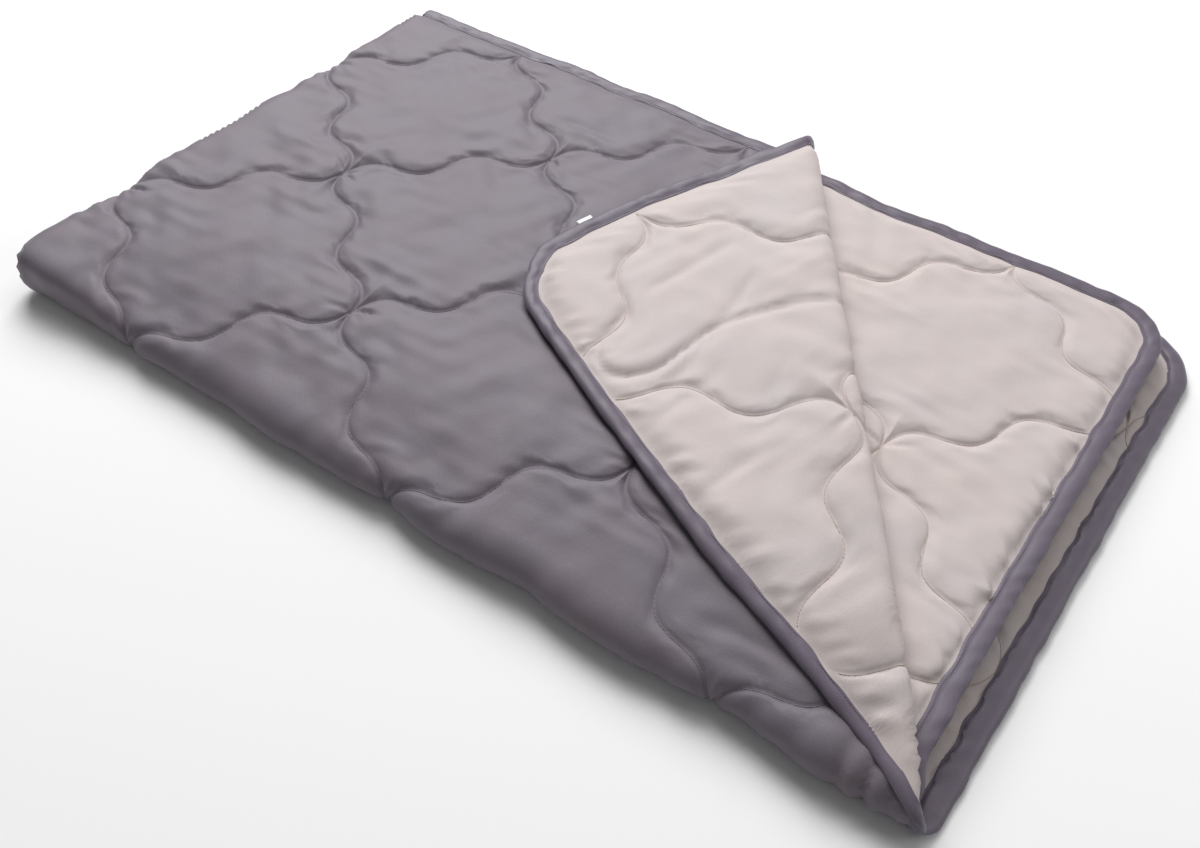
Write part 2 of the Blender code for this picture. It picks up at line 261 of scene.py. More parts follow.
def turn_corner(U, V, lift):
    """Carries the corner of layer 4 up round its roll and down onto the layer."""
    p, q = crease_place(U, V)
    radius = roll_radius(p)
    early = ROLL_LEAD * radius * smooth_step((p - 0.02) / 0.2)
    q = q + early
    arc = pi * radius
    turn = np.clip(q / radius, 0, pi)
    s = np.maximum(q - arc, 0)
    snug = np.clip(SNUG * radius / FREE, 0, 1)
    inside = smooth_step((q + 0.010) / 0.010) * (1 - smooth_step(s / 0.020))
    lift = np.where((lift > 0) & (U > FOLD_U), lift * (1 - (1 - snug) * inside), lift)
    rest = FLAP_REST * smooth_step((p + 0.01) / 0.10) * smooth_step((s + 0.05) / 0.06) + 0.0005
    length = 0.05 + 0.06 * np.clip(p / CREASE_REACH, 0, 1)
    height = np.where(q < arc, radius * (1 - np.cos(turn)), 0)
    eased = smooth_step(s / length)
    settled = 2 * radius + (rest - 2 * radius) * eased
    height = np.where(q < arc, height, settled)
    eased_part = np.clip(s / length, 0, 1)
    slope = (rest - 2 * radius) * 6 * eased_part * (1 - eased_part) / length
    across = np.where(q < arc, np.where(q > 0, ROLL_OVAL * radius * np.sin(turn), q), -s)
    bow_p, bow_s = flap_bow(p, s)
    wide = np.hypot(1, slope)
    normal_across = np.where(q < arc, -np.sin(turn), -slope / wide)
    normal_up = np.where(q < arc, np.cos(turn), -1 / wide)
    across = across - early - bow_s + lift * normal_across
    along = p + bow_p + FLAP_SLIDE * np.clip(p, 0, 1) * smooth_step(q / 0.04)
    height = height + lift * normal_up
    moved_U = CREASE_START.x + along * CREASE.x + across * OUTWARDS.x
    moved_V = CREASE_START.y + along * CREASE.y + across * OUTWARDS.y
    return np.where(q > 0, moved_U, U), np.where(q > 0, moved_V, V), np.where(q > 0, height, lift)


DROOP = 0.26                                    # share of its height that the near side loses
DROOP_REACH = 0.150                             # how far in from the near side the droop starts
# Where the near side is drawn in: x, half width and depth
NEAR_DIPS = [(0.72, 0.12, 0.0040), (0.93, 0.035, 0.0040), (0.552, 0.03, 0.0048)]
LAYER2_HEIGHT = 0.0208                          # the middles of layers 2 and 3 before they droop
LAYER3_HEIGHT = 0.0348
OUT_1, IN_2, IN_3 = 0.010, 0.014, 0.010         # how far the right ends of layers 1 to 3 are off the stack


def settle(x, y, z):
    """The stack is soft: its near side droops in a broad curve and its outline isn't quite straight."""
    droop = DROOP * smooth_step((DROOP_REACH - y) / DROOP_REACH) * smooth_step(x / 0.22)
    height = z
    z = z * (1 - droop)
    dips = sum(depth * np.exp(-((x - place) / width) ** 2) for place, width, depth in NEAR_DIPS)
    nearness = smooth_step((0.12 - y) / 0.12)
    y = y + dips * nearness + 0.0018 * ripple(x, 0 * x, 0.16, 21) * nearness
    x = x + 0.0016 * ripple(y, 0 * y, 0.14, 22) * smooth_step((0.10 - x) / 0.10)
    at_right = smooth_step((x - 0.88) / 0.20)
    past_fold = smooth_step((y - 0.03) / 0.03)
    first = 1 - smooth_step(height / 0.016)
    second = past_fold * np.exp(-((height - LAYER2_HEIGHT) / 0.0065) ** 2)
    third = past_fold * np.exp(-((height - LAYER3_HEIGHT) / 0.0065) ** 2)
    nearer = 1 - 0.7 * smooth_step((y - 0.1) / 0.5)
    x = x + at_right * (nearer * (OUT_1 * first - IN_3 * third) - IN_2 * second)
    y = y + 0.0022 * ripple(x, 0 * x, 0.17, 23) * smooth_step((y - 0.60) / 0.10)
    return x, y, z


PRESSED_SQUARE = 0.8                            # how far the folds are pressed from round to square


def squared(turn, share):
    """How much further out a fold reaches at a turn where it is pressed square, share 0 to 1."""
    corner = (np.sin(turn) ** 4 + np.cos(turn) ** 4) ** -0.25
    return 1 + PRESSED_SQUARE * share * (corner - 1)


def folded(U, V, lift):
    """Carries flat places, lifted off the sheet's middle, to where they lie in the folded quilt."""
    U, V, lift = turn_corner(U, V, lift)
    end = turn_of_end(U)
    beyond = np.maximum(FOLD_END_U - U, 0)
    before_near_fold = 1 - smooth_step((FOLD_V - V) / 0.012)
    reach = (END_RADIUS + lift) * squared(end, before_near_fold)
    x = np.maximum(U, FOLD_U) - reach * np.sin(end) + beyond
    stack = reach * np.cos(end)
    radius = NEAR_RADIUS + END_RADIUS * np.cos(end)
    ahead = FOLD_V - V
    near = np.clip(ahead / radius, 0, pi)
    past = np.maximum(ahead - pi * radius, 0)
    reach = (NEAR_RADIUS + stack) * squared(near, 1 - smooth_step((x - 0.02) / 0.30))
    y = np.maximum(V, FOLD_V) - reach * np.sin(near) + past
    z = NEAR_HINGE.z + reach * np.cos(near)
    x, y, z = settle(x, y, z)
    z = np.where(z < FLOOR_GAP, FLOOR_GAP * np.exp(np.minimum(z / FLOOR_GAP - 1, 0)), z)
    return np.column_stack([x + CORNER.x, y + CORNER.y, z])


def tape_width(U, V):
    """How wide the tape shows: it curls under along the turned corner and narrows into the tip."""
    p, q = crease_place(U, V)
    turned = smooth_step(q / 0.02) * (U > FOLD_U) * (V > FOLD_V - OUTER_RADIUS)
    tip = (1 - smooth_step(np.hypot(p, q) / 0.16)) * (V > FOLD_V - 2 * OUTER_RADIUS) * (U > FOLD_U)
    return TAPE_WIDTH * (1 - 0.16 * turned - 0.36 * tip)


def edge_distance(U, V):
    """How far inside the quilt's bound edge a flat place lies, and its place along that edge."""
    T = run_of(U, V)
    upper = np.clip(-T / RUN_BACK, 0, 1)
    lower = np.clip((T - NEAR_RUN) / RUN_BACK, 0, 1)
    right = RIGHT_NEAR + (RIGHT_INNER - RIGHT_NEAR) * upper + (RIGHT_FLOOR - RIGHT_NEAR) * lower
    side = np.minimum(right - U, U - LEFT_U)
    end = np.minimum(T - BACK_UPPER, BACK_LOWER - T)
    rounded = CORNER_RADIUS - np.hypot(CORNER_RADIUS - side, CORNER_RADIUS - end)
    in_corner = (side < CORNER_RADIUS) & (end < CORNER_RADIUS)
    return np.where(in_corner, rounded, np.minimum(side, end)), U + 1.7 * T


# ---------------------------------------------------------------- headroom of the puffs

def free_share_of_face(U, V):
    """1 where the face fabric can puff up freely, 0 where it lies against something."""
    end = turn_of_end(U)
    near = np.clip((FOLD_V - V) / (NEAR_RADIUS + END_RADIUS * np.cos(end)), 0, pi)
    outer = (1 - smooth_step((end - 1.8) / 1.2)) * (1 - smooth_step((near - 1.7) / 0.9))
    p, q = crease_place(U, V)
    covered = smooth_step((flap_reach(p) + 0.02 + q) / 0.03) * (V > FOLD_V)
    return outer * (1 - covered) * (1 - smooth_step((q + 0.02) / 0.02))


def free_share_of_lining(U, V):
    """1 where the lining can puff up freely: on the turned corner and on what it leaves open."""
    beyond = crease_place(U, V)[1]
    turned = smooth_step(beyond / 0.018) * (U > FOLD_U)
    beyond_above = crease_place(FOLD_U + FOLD_END_U - U, V)[1]
    opened = smooth_step((beyond_above - 0.004) / 0.03) * (U < FOLD_END_U) * (V > FOLD_V)
    strip = smooth_step((U - RIGHT_INNER + 0.02) / 0.02) * (run_of(U, V) > NEAR_RUN)
    return np.maximum(np.maximum(turned, opened), strip)


# ---------------------------------------------------------------- puffed cells

def line_samples(steps=240):
    """Flat places along the four stitched sides of the cell at the lattice's start."""
    t = np.linspace(0, 1, steps)
    still = np.zeros_like(t)
    sides = [flat_place(still, t), flat_place(still + 1, t), flat_place(t, still), flat_place(t, still + 1)]
    return np.concatenate([np.column_stack(side) for side in sides])


def cell_grid():
    """u and v of a cell's fine grid."""
    steps = np.arange(FINE + 1) / FINE
    return np.meshgrid(steps, steps, indexing="ij")


def plain_puff():
    """Height of a padded cell before it wrinkles, 0 at its stitches and 1 at a full puff."""
    u, v = cell_grid()
    places = np.column_stack([part.ravel() for part in flat_place(u, v)])
    gaps = places[:, None] - line_samples()[None]
    away = np.sqrt((gaps ** 2).sum(-1)).min(1).reshape(u.shape)
    round_over = np.clip(away / PUFF_ROUND, 0, 1)
    crown = 1 - np.exp(-away / 0.034)
    return 0.66 * np.sqrt(np.clip(1 - (1 - round_over) ** 2, 0, 1)) + 0.34 * crown, away


def simulated_cells():
    """Lets a block of padded cells wrinkle: the stitched lines hold, and there is a little too much cloth.

    Returns how each cell's grid has moved: across, along and up.
    """
    puff, away = plain_puff()
    bm = bmesh.new()
    count = SIM_CELLS * FINE
    bmesh.ops.create_grid(bm, x_segments=count, y_segments=count, size=SIM_CELLS / 2)
    mesh = bpy.data.meshes.new("cells")
    bm.to_mesh(mesh)
    bm.free()
    place = read(mesh.vertices, "co", 3)
    u, v = place[:, 0] + SIM_CELLS / 2, place[:, 1] + SIM_CELLS / 2
    i, j = np.rint(u * FINE).astype(int), np.rint(v * FINE).astype(int)
    across, along = flat_place(u, v)
    start = np.column_stack([across, along, PINCHED + (FREE - PINCHED) * puff[i % FINE, j % FINE]])
    begun = start.copy()
    inside = np.clip(away[i % FINE, j % FINE] / 0.010, 0, 1)
    begun[:, 2] += 0.0006 * ripple(across, along, 0.030, 1) * inside
    mesh.vertices.foreach_set("co", begun.ravel())
    block = bpy.data.objects.new("cells", mesh)
    bpy.context.scene.collection.objects.link(block)
    held = block.vertex_groups.new(name="held")
    on_line = (i % FINE == 0) | (j % FINE == 0)
    held.add(np.flatnonzero(on_line).tolist(), 1.0, "REPLACE")
    held.add(np.flatnonzero(~on_line).tolist(), 0.10, "REPLACE")
    cloth = block.modifiers.new("cloth", "CLOTH")
    cloth.settings.quality = 5
    cloth.settings.mass = 0.1
    cloth.settings.air_damping = 2
    cloth.settings.tension_stiffness = 30
    cloth.settings.compression_stiffness = 30
    cloth.settings.shear_stiffness = 20
    cloth.settings.bending_stiffness = 1.5
    cloth.settings.vertex_group_mass = held.name
    cloth.settings.shrink_min = -SPARE_CLOTH
    cloth.settings.shrink_max = -SPARE_CLOTH
    cloth.settings.effector_weights.gravity = 0
    cloth.collision_settings.use_collision = False
    cloth.point_cache.frame_start = 1
    cloth.point_cache.frame_end = SIM_FRAMES
    for step in range(1, SIM_FRAMES + 1):
        bpy.context.scene.frame_set(step)
    settled = block.evaluated_get(bpy.context.evaluated_depsgraph_get())
    result = bpy.data.meshes.new_from_object(settled)
    moved = read(result.vertices, "co", 3) - start
    bpy.data.objects.remove(block)
    bpy.data.meshes.remove(result)
    bpy.context.scene.frame_set(1)
    whole = np.zeros((count + 1, count + 1, 3))
    whole[i, j] = moved
    cells = []
    for first in range(SIM_CELLS):
        for second in range(SIM_CELLS):
            rows = slice(first * FINE, (first + 1) * FINE + 1)
            columns = slice(second * FINE, (second + 1) * FINE + 1)
            cells.append(whole[rows, columns].copy())
    return cells


# The fans of darts in a cell: their corner, the way they face, how many darts and how strong
DART_FANS = [((0, 0), 0.0, 4, 1.0), ((1, 0), -1.6, 2, 0.6), ((0, 1), 1.6, 2, 0.6), ((1, 1), 3.1, 2, 0.7)]


def darts(seed):
    """Short sharp creases that fan out into a cell from its four corners."""
    draw = np.random.default_rng(seed)
    u, v = cell_grid()
    across, along = flat_place(u, v)
    depth = np.zeros_like(across)
    for corner, facing, count, strength in DART_FANS:
        home = flat_place(np.array(float(corner[0])), np.array(float(corner[1])))
        dx, dy = across - home[0], along - home[1]
        for k in range(count):
            way = facing + draw.uniform(-0.75, 0.75)
            length = draw.uniform(0.022, 0.048)
            run = dx * np.cos(way) + dy * np.sin(way)
            aside = -dx * np.sin(way) + dy * np.cos(way) - 0.10 * run ** 2 / length * draw.uniform(-1, 1)
            shape = smooth_step(run / 0.008) * (1 - smooth_step((run - 0.4 * length) / (0.6 * length)))
            width = draw.uniform(0.0022, 0.0034)
            depth += strength * draw.uniform(0.8, 1.5) * shape * np.exp(-(aside / width) ** 2)
    return depth


def read(items, name, width=1):
    """One value, or a row of width values, from each of a mesh's items."""
    values = np.zeros(len(items) * width)
    items.foreach_get(name, values)
    return values.reshape(-1, width) if width > 1 else values


def calmed(moved, passes=8):
    """Evens out the small ripples of a cell's grid and keeps the broad ones."""
    for _ in range(passes):
        inner = moved[:-2, 1:-1] + moved[2:, 1:-1] + moved[1:-1, :-2] + moved[1:-1, 2:]
        moved = moved.copy()
        moved[1:-1, 1:-1] = 0.5 * moved[1:-1, 1:-1] + 0.125 * inner
    return moved


def make_cells():
    """The cells the quilt is puffed from: moved across, moved along, height from 0 to 1, plain height."""
    puff, away = plain_puff()
    u, v = cell_grid()
    across, along = flat_place(u, v)
    moves = simulated_cells()
    near_stitches = np.exp(-(away / 0.014) ** 2)[..., None]
    cells = []
    for k, moved in enumerate(moves):
        moved = 0.8 * near_stitches * moved + 0.85 * (1 - near_stitches) * calmed(moved)
        dents = 0.07 * ripple(across, along, 0.11, 40 + k) + 0.035 * ripple(across, along, 0.05, 60 + k)
        height = puff + moved[..., 2] / (FREE - PINCHED)
        height = height + np.clip(away / 0.03, 0, 1) * (dents - 0.04) - 0.20 * darts(80 + k)
        height = np.where(away < 1e-6, 0, np.maximum(height, 0.45 * puff))
        cells.append(np.dstack([moved[..., 0], moved[..., 1], height, puff]))
    return np.array(cells)


CELLS = make_cells()


def puff_at(u, v, side):
    """Reads the puffed cells at lattice places, see make_cells."""
    i, j = np.floor(u).astype(int), np.floor(v).astype(int)
    which = (i * 5 + j * 3 + (i * j) % 2 + 4 * side) % len(CELLS)
    p, q = (u - i) * FINE, (v - j) * FINE
    low_p, low_q = np.minimum(p.astype(int), FINE - 1), np.minimum(q.astype(int), FINE - 1)
    p, q = (p - low_p)[:, None], (q - low_q)[:, None]
    near = CELLS[which, low_p, low_q] * (1 - p) + CELLS[which, low_p + 1, low_q] * p
    far = CELLS[which, low_p, low_q + 1] * (1 - p) + CELLS[which, low_p + 1, low_q + 1] * p
    return near * (1 - q) + far * q


FACE, LINING = 1, -1
# Long soft folds on the turned corner: where along the crease and past its roll they start and end, and depth
FLAP_FOLDS = [
    (0.60, 0.08, 0.50, 0.20, 0.22), (0.56, 0.06, 0.36, 0.17, 0.26), (0.30, 0.08, 0.22, 0.17, 0.24),
    (0.66, 0.12, 0.62, 0.24, 0.20), (0.42, 0.10, 0.30, 0.20, 0.16),
]
# Upright folds on the near fold by the tip: U, half width, depth
TIP_FOLDS = [(1.022, 0.0065, 0.45), (1.044, 0.0045, 0.75), (1.066, 0.0040, 0.75)]
# One more row of stitches on the turned corner, which curls back from the tape: (U, V)
CURLED_ROW = [
    (1.006, 0.568), (1.036, 0.551), (1.056, 0.535), (1.061, 0.512), (1.050, 0.492), (1.021, 0.482),
    (0.989, 0.488), (0.942, 0.498), (0.901, 0.494), (0.861, 0.479), (0.821, 0.456), (0.791, 0.444),
]


def smooth_row(points, spacing):
    """A smooth row through the points, with a place at every spacing."""
    points = np.array(points)
    padded = np.vstack([2 * points[0] - points[1], points, 2 * points[-1] - points[-2]])
    t = np.linspace(0, 1, 20, endpoint=False)[:, None]
    row = []
    for a, b, c, d in zip(padded, padded[1:], padded[2:], padded[3:]):
        bend = (2 * a - 5 * b + 4 * c - d) * t ** 2
        twist = (3 * (b - c) + d - a) * t ** 3
        row.append(0.5 * (2 * b + (c - a) * t + bend + twist))
    row = np.vstack([*row, points[-1:]])
    far = np.concatenate([[0], np.cumsum(np.linalg.norm(np.diff(row, axis=0), axis=1))])
    steps = np.arange(0, far[-1], spacing)
    return np.interp(steps, far, row[:, 0]), np.interp(steps, far, row[:, 1])


def beside_row(U, V):
    """How far places lie from the curled row."""
    row_U, row_V = smooth_row(CURLED_ROW, 0.003)
    away = np.full_like(U, 1.0)
    close = (U > 0.76) & (U < 1.09) & (V > 0.41) & (V < 0.60)
    gaps = np.hypot(U[close][:, None] - row_U, V[close][:, None] - row_V)
    away[close] = gaps.min(1, initial=1.0)
    return away


def shallow(U, V, side):
    """How much the puffs are pressed down by the roll, by long folds and near the tip."""
    p, q = crease_place(U, V)
    arc = pi * roll_radius(p)
    middle = 0.5 * arc
    pressed = 0.40 * np.exp(-((q + 0.25 * arc - middle) / (0.55 * arc)) ** 2) * (V > 0) * (U > FOLD_U)
    if side == FACE:
        pressed = 0.8 * pressed
        wrap = smooth_step((0.045 - V) / 0.03) * (1 - smooth_step((-0.035 - V) / 0.03))
        for place, width, depth in TIP_FOLDS:
            lean = place + 0.10 * (V - 0.01) ** 2 / 0.03 - 0.06 * (V - 0.01)
            pressed = pressed + depth * wrap * np.exp(-((U - lean) / width) ** 2)
        return np.clip(pressed, 0, 0.85)
    s = q - arc
    for p0, s0, p1, s1, depth in FLAP_FOLDS:
        length = np.hypot(p1 - p0, s1 - s0)
        run = ((p - p0) * (p1 - p0) + (s - s0) * (s1 - s0)) / length
        aside = ((s - s0) * (p1 - p0) - (p - p0) * (s1 - s0)) / length
        share = smooth_step(run / 0.03) * (1 - smooth_step((run - length + 0.04) / 0.04))
        pressed = pressed + depth * share * np.exp(-(aside / 0.007) ** 2) * (U > FOLD_U)
    round_over = np.clip(beside_row(U, V) / PUFF_ROUND, 0, 1)
    beside = 1 - np.sqrt(np.clip(1 - (1 - round_over) ** 2, 0, 1))
    return np.clip(np.maximum(pressed, beside), 0, 0.86)


def surface(u, v, side, depth=0, fullness=1):
    """Places on the face or the lining side of the quilt, depth below its outer surface."""
    U, V = flat_place(u, v)
    moved = puff_at(u, v, side)
    free = free_share_of_face(U, V) if side == FACE else free_share_of_lining(U, V)
    room = (CONTACT + (FREE - CONTACT) * free) * (1 - shallow(U, V, side))
    edge, place_along = edge_distance(U, V)
    reach = EDGE_ROUND * (1 + 0.22 * ripple(place_along, 0 * place_along, 0.034, 31 + side))
    inside = edge - tape_width(U, V)
    rising = np.sin(0.5 * pi * np.clip((inside - RISE_START) / reach, 0, 1))
    held = PINCHED + (SEWN_IN - PINCHED) * (1 - np.clip(inside / 0.010, 0, 1))
    shift = rising * room / FREE
    wrinkled = moved[:, 3] + (moved[:, 2] - moved[:, 3]) * (1 if side == FACE else LINING_WRINKLES)
    height = held + fullness * (room - PINCHED) * wrinkled * rising
    lift = side * np.maximum(height - depth, 0.0001)
    return folded(U + moved[:, 0] * shift, V + moved[:, 1] * shift, lift)


def surface_normal(u, v, side):
    """Outward normals, taken across one grid step each way."""
    step = 1 / FINE
    along_u = surface(u + step, v, side) - surface(u - step, v, side)
    along_v = surface(u, v + step, side) - surface(u, v - step, side)
    normal = np.cross(along_v, along_u) * side
    return normal / np.maximum(np.linalg.norm(normal, axis=1), 1e-12)[:, None]


# ---------------------------------------------------------------- cutting the sheets

def upright(U, T, outwards):
    """A cut across the flat sheet: a place on it and the way to what is cut off."""
    return (Vector((U, T, 0)), Vector((*outwards, 0)).normalized())


def round_corner(U, T, side, end):
    """Cuts that round one of the quilt's corners, a little inside the tape's outer edge."""
    radius = CORNER_RADIUS - FABRIC_EDGE
    centre = Vector((U - side * CORNER_RADIUS, T - end * CORNER_RADIUS))
    cuts = []
    for k in range(1, 8):
        turn = k * pi / 16
        way = Vector((side * cos(turn), end * sin(turn)))
        cuts.append(upright(*(centre + radius * way), way))
    return cuts


def end_cut(U_near, T_near, U_back, T_back):
    """The cut along a right end, given its two ends, inside the tape."""
    along = Vector((U_back - U_near, T_back - T_near)).normalized()
    way = Vector((abs(along.y), -along.x if along.y > 0 else along.x))
    return upright(*(Vector((U_near, T_near)) - FABRIC_EDGE * way), way)


CREASE_T = Vector((OUTWARDS.x, -OUTWARDS.y))    # the crease's outward way in (U, T)
WRAP_SQUEEZE = NEAR_RADIUS / OUTER_RADIUS       # T runs slower than V round the outer wrap
WRAP_CREASE = Vector((OUTWARDS.x, -OUTWARDS.y / WRAP_SQUEEZE))
REGIONS = {
    "layer4": [
        upright(0, 0, (0, 1)),
        upright(0, BACK_UPPER + FABRIC_EDGE, (0, -1)),
        upright(FOLD_END_U, 0, (-1, 0)),
        upright(CREASE_START.x, -(CREASE_START.y - FOLD_V), CREASE_T),
    ],
    "layer3": [
        upright(0, 0, (0, 1)),
        upright(0, BACK_UPPER + FABRIC_EDGE, (0, -1)),
        upright(FOLD_END_U, 0, (1, 0)),
        upright(LEFT_U + FABRIC_EDGE, 0, (-1, 0)),
        *round_corner(LEFT_U, BACK_UPPER, -1, -1),
    ],
    "layer2": [
        upright(0, NEAR_RUN, (0, -1)),
        upright(0, BACK_LOWER - FABRIC_EDGE, (0, 1)),
        upright(FOLD_END_U, 0, (1, 0)),
        upright(LEFT_U + FABRIC_EDGE, 0, (-1, 0)),
        *round_corner(LEFT_U, BACK_LOWER, -1, 1),
    ],
    "layer1": [
        upright(0, NEAR_RUN, (0, -1)),
        upright(0, BACK_LOWER - FABRIC_EDGE, (0, 1)),
        upright(FOLD_END_U, 0, (-1, 0)),
        end_cut(RIGHT_NEAR, NEAR_RUN, RIGHT_FLOOR, BACK_LOWER),
        *round_corner(RIGHT_FLOOR, BACK_LOWER, 1, 1),
    ],
    "near_fold_outer": [
        upright(0, 0, (0, -1)),
        upright(0, NEAR_RUN, (0, 1)),
        upright(FOLD_END_U, 0, (-1, 0)),
        upright(RIGHT_NEAR - FABRIC_EDGE, 0, (1, 0)),
        upright(CREASE_START.x, -(CREASE_START.y - FOLD_V), WRAP_CREASE),
    ],
    "near_fold_inner": [
        upright(0, 0, (0, -1)),
        upright(0, NEAR_RUN, (0, 1)),
        upright(FOLD_END_U, 0, (1, 0)),
        upright(LEFT_U + FABRIC_EDGE, 0, (-1, 0)),
    ],
}
# The roll and the turned corner are cut in (U, V), with V turned round to run as T does
ROLL_START = CREASE_START.x, -CREASE_START.y
ROLL_STOP = Vector(ROLL_START) + ROLL_SHEET * CREASE_T
CORNER_EDGES = [
    upright(0, -WIDTH + FABRIC_EDGE, (0, -1)),
    end_cut(RIGHT_NEAR, -FOLD_V, RIGHT_INNER, -WIDTH),
    upright(RIGHT_NEAR - FABRIC_EDGE, 0, (1, 0)),
    *round_corner(RIGHT_INNER, -WIDTH, 1, -1),
]
REGIONS["crease_roll"] = [
    upright(*ROLL_START, -CREASE_T),
    upright(*ROLL_STOP, CREASE_T),
    *CORNER_EDGES,
]
REGIONS["flap"] = [upright(*ROLL_STOP, -CREASE_T), *CORNER_EDGES]
TURNED = ("crease_roll", "flap")

# Rough flat corners, (U, V), of a grid that each region is cut from
FLAT_BOX = {
    "layer4": [(-0.01, 0.02), (1.11, 0.02), (-0.01, 0.71), (0.62, 0.71)],
    "layer3": [(-1.09, 0.02), (0.0, 0.02), (-1.09, 0.71), (0.0, 0.71)],
    "layer2": [(-1.09, 0.04), (0.0, 0.04), (-1.09, -0.72), (0.0, -0.72)],
    "layer1": [(-0.01, 0.04), (1.13, 0.04), (-0.01, -0.72), (1.13, -0.72)],
    "near_fold_outer": [(-0.01, -0.05), (1.11, -0.05), (-0.01, 0.03), (1.11, 0.03)],
    "near_fold_inner": [(-1.09, -0.05), (0.0, -0.05), (-1.09, 0.03), (0.0, 0.03)],
    "crease_roll": [(0.60, 0.71), (0.70, 0.71), (1.05, 0.0), (1.11, -0.03)],
    "flap": [(0.62, 0.71), (1.11, 0.71), (1.11, 0.0)],
}


def cut_sheet(region, fineness):
    """A flat grid of the region in lattice steps, cut to its outline, with u and v on its points."""
    low_u, high_u, low_v, high_v = lattice_box(FLAT_BOX[region])
    low_u, low_v = np.floor(low_u * fineness) / fineness, np.floor(low_v * fineness) / fineness
    count_u = int(np.ceil((high_u - low_u) * fineness))
    count_v = int(np.ceil((high_v - low_v) * fineness))
    bm = bmesh.new()
    bmesh.ops.create_grid(bm, x_segments=count_u, y_segments=count_v, size=0.5)
    layer_u = bm.verts.layers.float.new("lattice_u")
    layer_v = bm.verts.layers.float.new("lattice_v")
    start = np.array([vert.co.to_tuple() for vert in bm.verts])
    u = low_u + np.rint((start[:, 0] + 0.5) * count_u) / fineness
    v = low_v + np.rint((start[:, 1] + 0.5) * count_v) / fineness
    U, V = flat_place(u, v)
    T = -V if region in TURNED else run_of(U, V)
    for vert, *values in zip(bm.verts, u.tolist(), v.tolist(), U.tolist(), T.tolist()):
        vert[layer_u], vert[layer_v] = values[:2]
        vert.co = (values[2], values[3], 0)
    for place, way in REGIONS[region]:
        whole = bm.verts[:] + bm.edges[:] + bm.faces[:]
        bmesh.ops.bisect_plane(bm, geom=whole, dist=1e-5, plane_co=place, plane_no=way, clear_outer=True)
    loose = [vert for vert in bm.verts if not vert.link_faces]
    bmesh.ops.delete(bm, geom=loose, context="VERTS")
    return bm


def layer_of_cloth(name, region, fineness, upper, lower, material):
    """A closed sheet of cloth or wadding between two surfaces, each a (side, depth, fullness)."""
    bm = cut_sheet(region, fineness)
    grown = bmesh.ops.extrude_face_region(bm, geom=bm.faces[:], use_keep_orig=True)["geom"]
    for vert in grown:
        if isinstance(vert, bmesh.types.BMVert):
            vert.co.z = 1
    bmesh.ops.triangulate(bm, faces=[face for face in bm.faces if len(face.verts) > 4])
    mesh = bpy.data.meshes.new(name)
    bm.to_mesh(mesh)
    bm.free()
    u = read(mesh.attributes["lattice_u"].data, "value")
    v = read(mesh.attributes["lattice_v"].data, "value")
    on_top = read(mesh.vertices, "co", 3)[:, 2] > 0.5
    place, normal = np.zeros((len(u), 3)), np.zeros((len(u), 3))
    for chosen, where, facing in ((on_top, upper, 1), (~on_top, lower, -1)):
        place[chosen] = surface(u[chosen], v[chosen], *where)
        normal[chosen] = surface_normal(u[chosen], v[chosen], where[0]) * where[0] * facing
    mesh.vertices.foreach_set("co", place.ravel())
    add_flat_map(mesh, *flat_place(u, v))
    mesh.update()
    if closed_volume(mesh) < 0:
        mesh.flip_normals()
    mesh.shade_smooth()
    mesh.normals_split_custom_set_from_vertices(normal.tolist())
    return finished(name, mesh, material)


def closed_volume(mesh):
    """The mesh's volume, below 0 if it is inside out."""
    bm = bmesh.new()
    bm.from_mesh(mesh)
    volume = bm.calc_volume(signed=True)
    bm.free()
    return volume


def add_flat_map(mesh, across, along):
    """A UV map in metres on the flat cloth, so that weave and stitches follow it through the folds."""
    corners = np.zeros(len(mesh.loops), int)
    mesh.loops.foreach_get("vertex_index", corners)
    chart = mesh.uv_layers.new(name="flat_cloth")
    chart.data.foreach_set("uv", np.column_stack([across[corners], along[corners]]).ravel())


def finished(name, mesh, material):
    """The mesh as an object in the scene, with its material."""
    for attribute in ("lattice_u", "lattice_v"):
        if attribute in mesh.attributes:
            mesh.attributes.remove(mesh.attributes[attribute])
    mesh.materials.append(material)
    piece = bpy.data.objects.new(name, mesh)
    bpy.context.scene.collection.objects.link(piece)
    return piece


# ---------------------------------------------------------------- materials

def linear(colour):
    """An sRGB hex colour as linear RGBA."""
    parts = [int(colour[i:i + 2], 16) / 255 for i in (1, 3, 5)]
    return (*[p / 12.92 if p <= 0.04045 else ((p + 0.055) / 1.055) ** 2.4 for p in parts], 1)


def add_node(tree, kind, inputs=None, **settings):
    """Adds a node. inputs gives values or the sockets to link, by the input's name or number."""
    node = tree.nodes.new(kind)
    for name, value in settings.items():
        setattr(node, name, value)
    for name, value in (inputs or {}).items():
        if isinstance(value, bpy.types.NodeSocket):
            tree.links.new(value, node.inputs[name])
        else:
            node.inputs[name].default_value = value
    return node


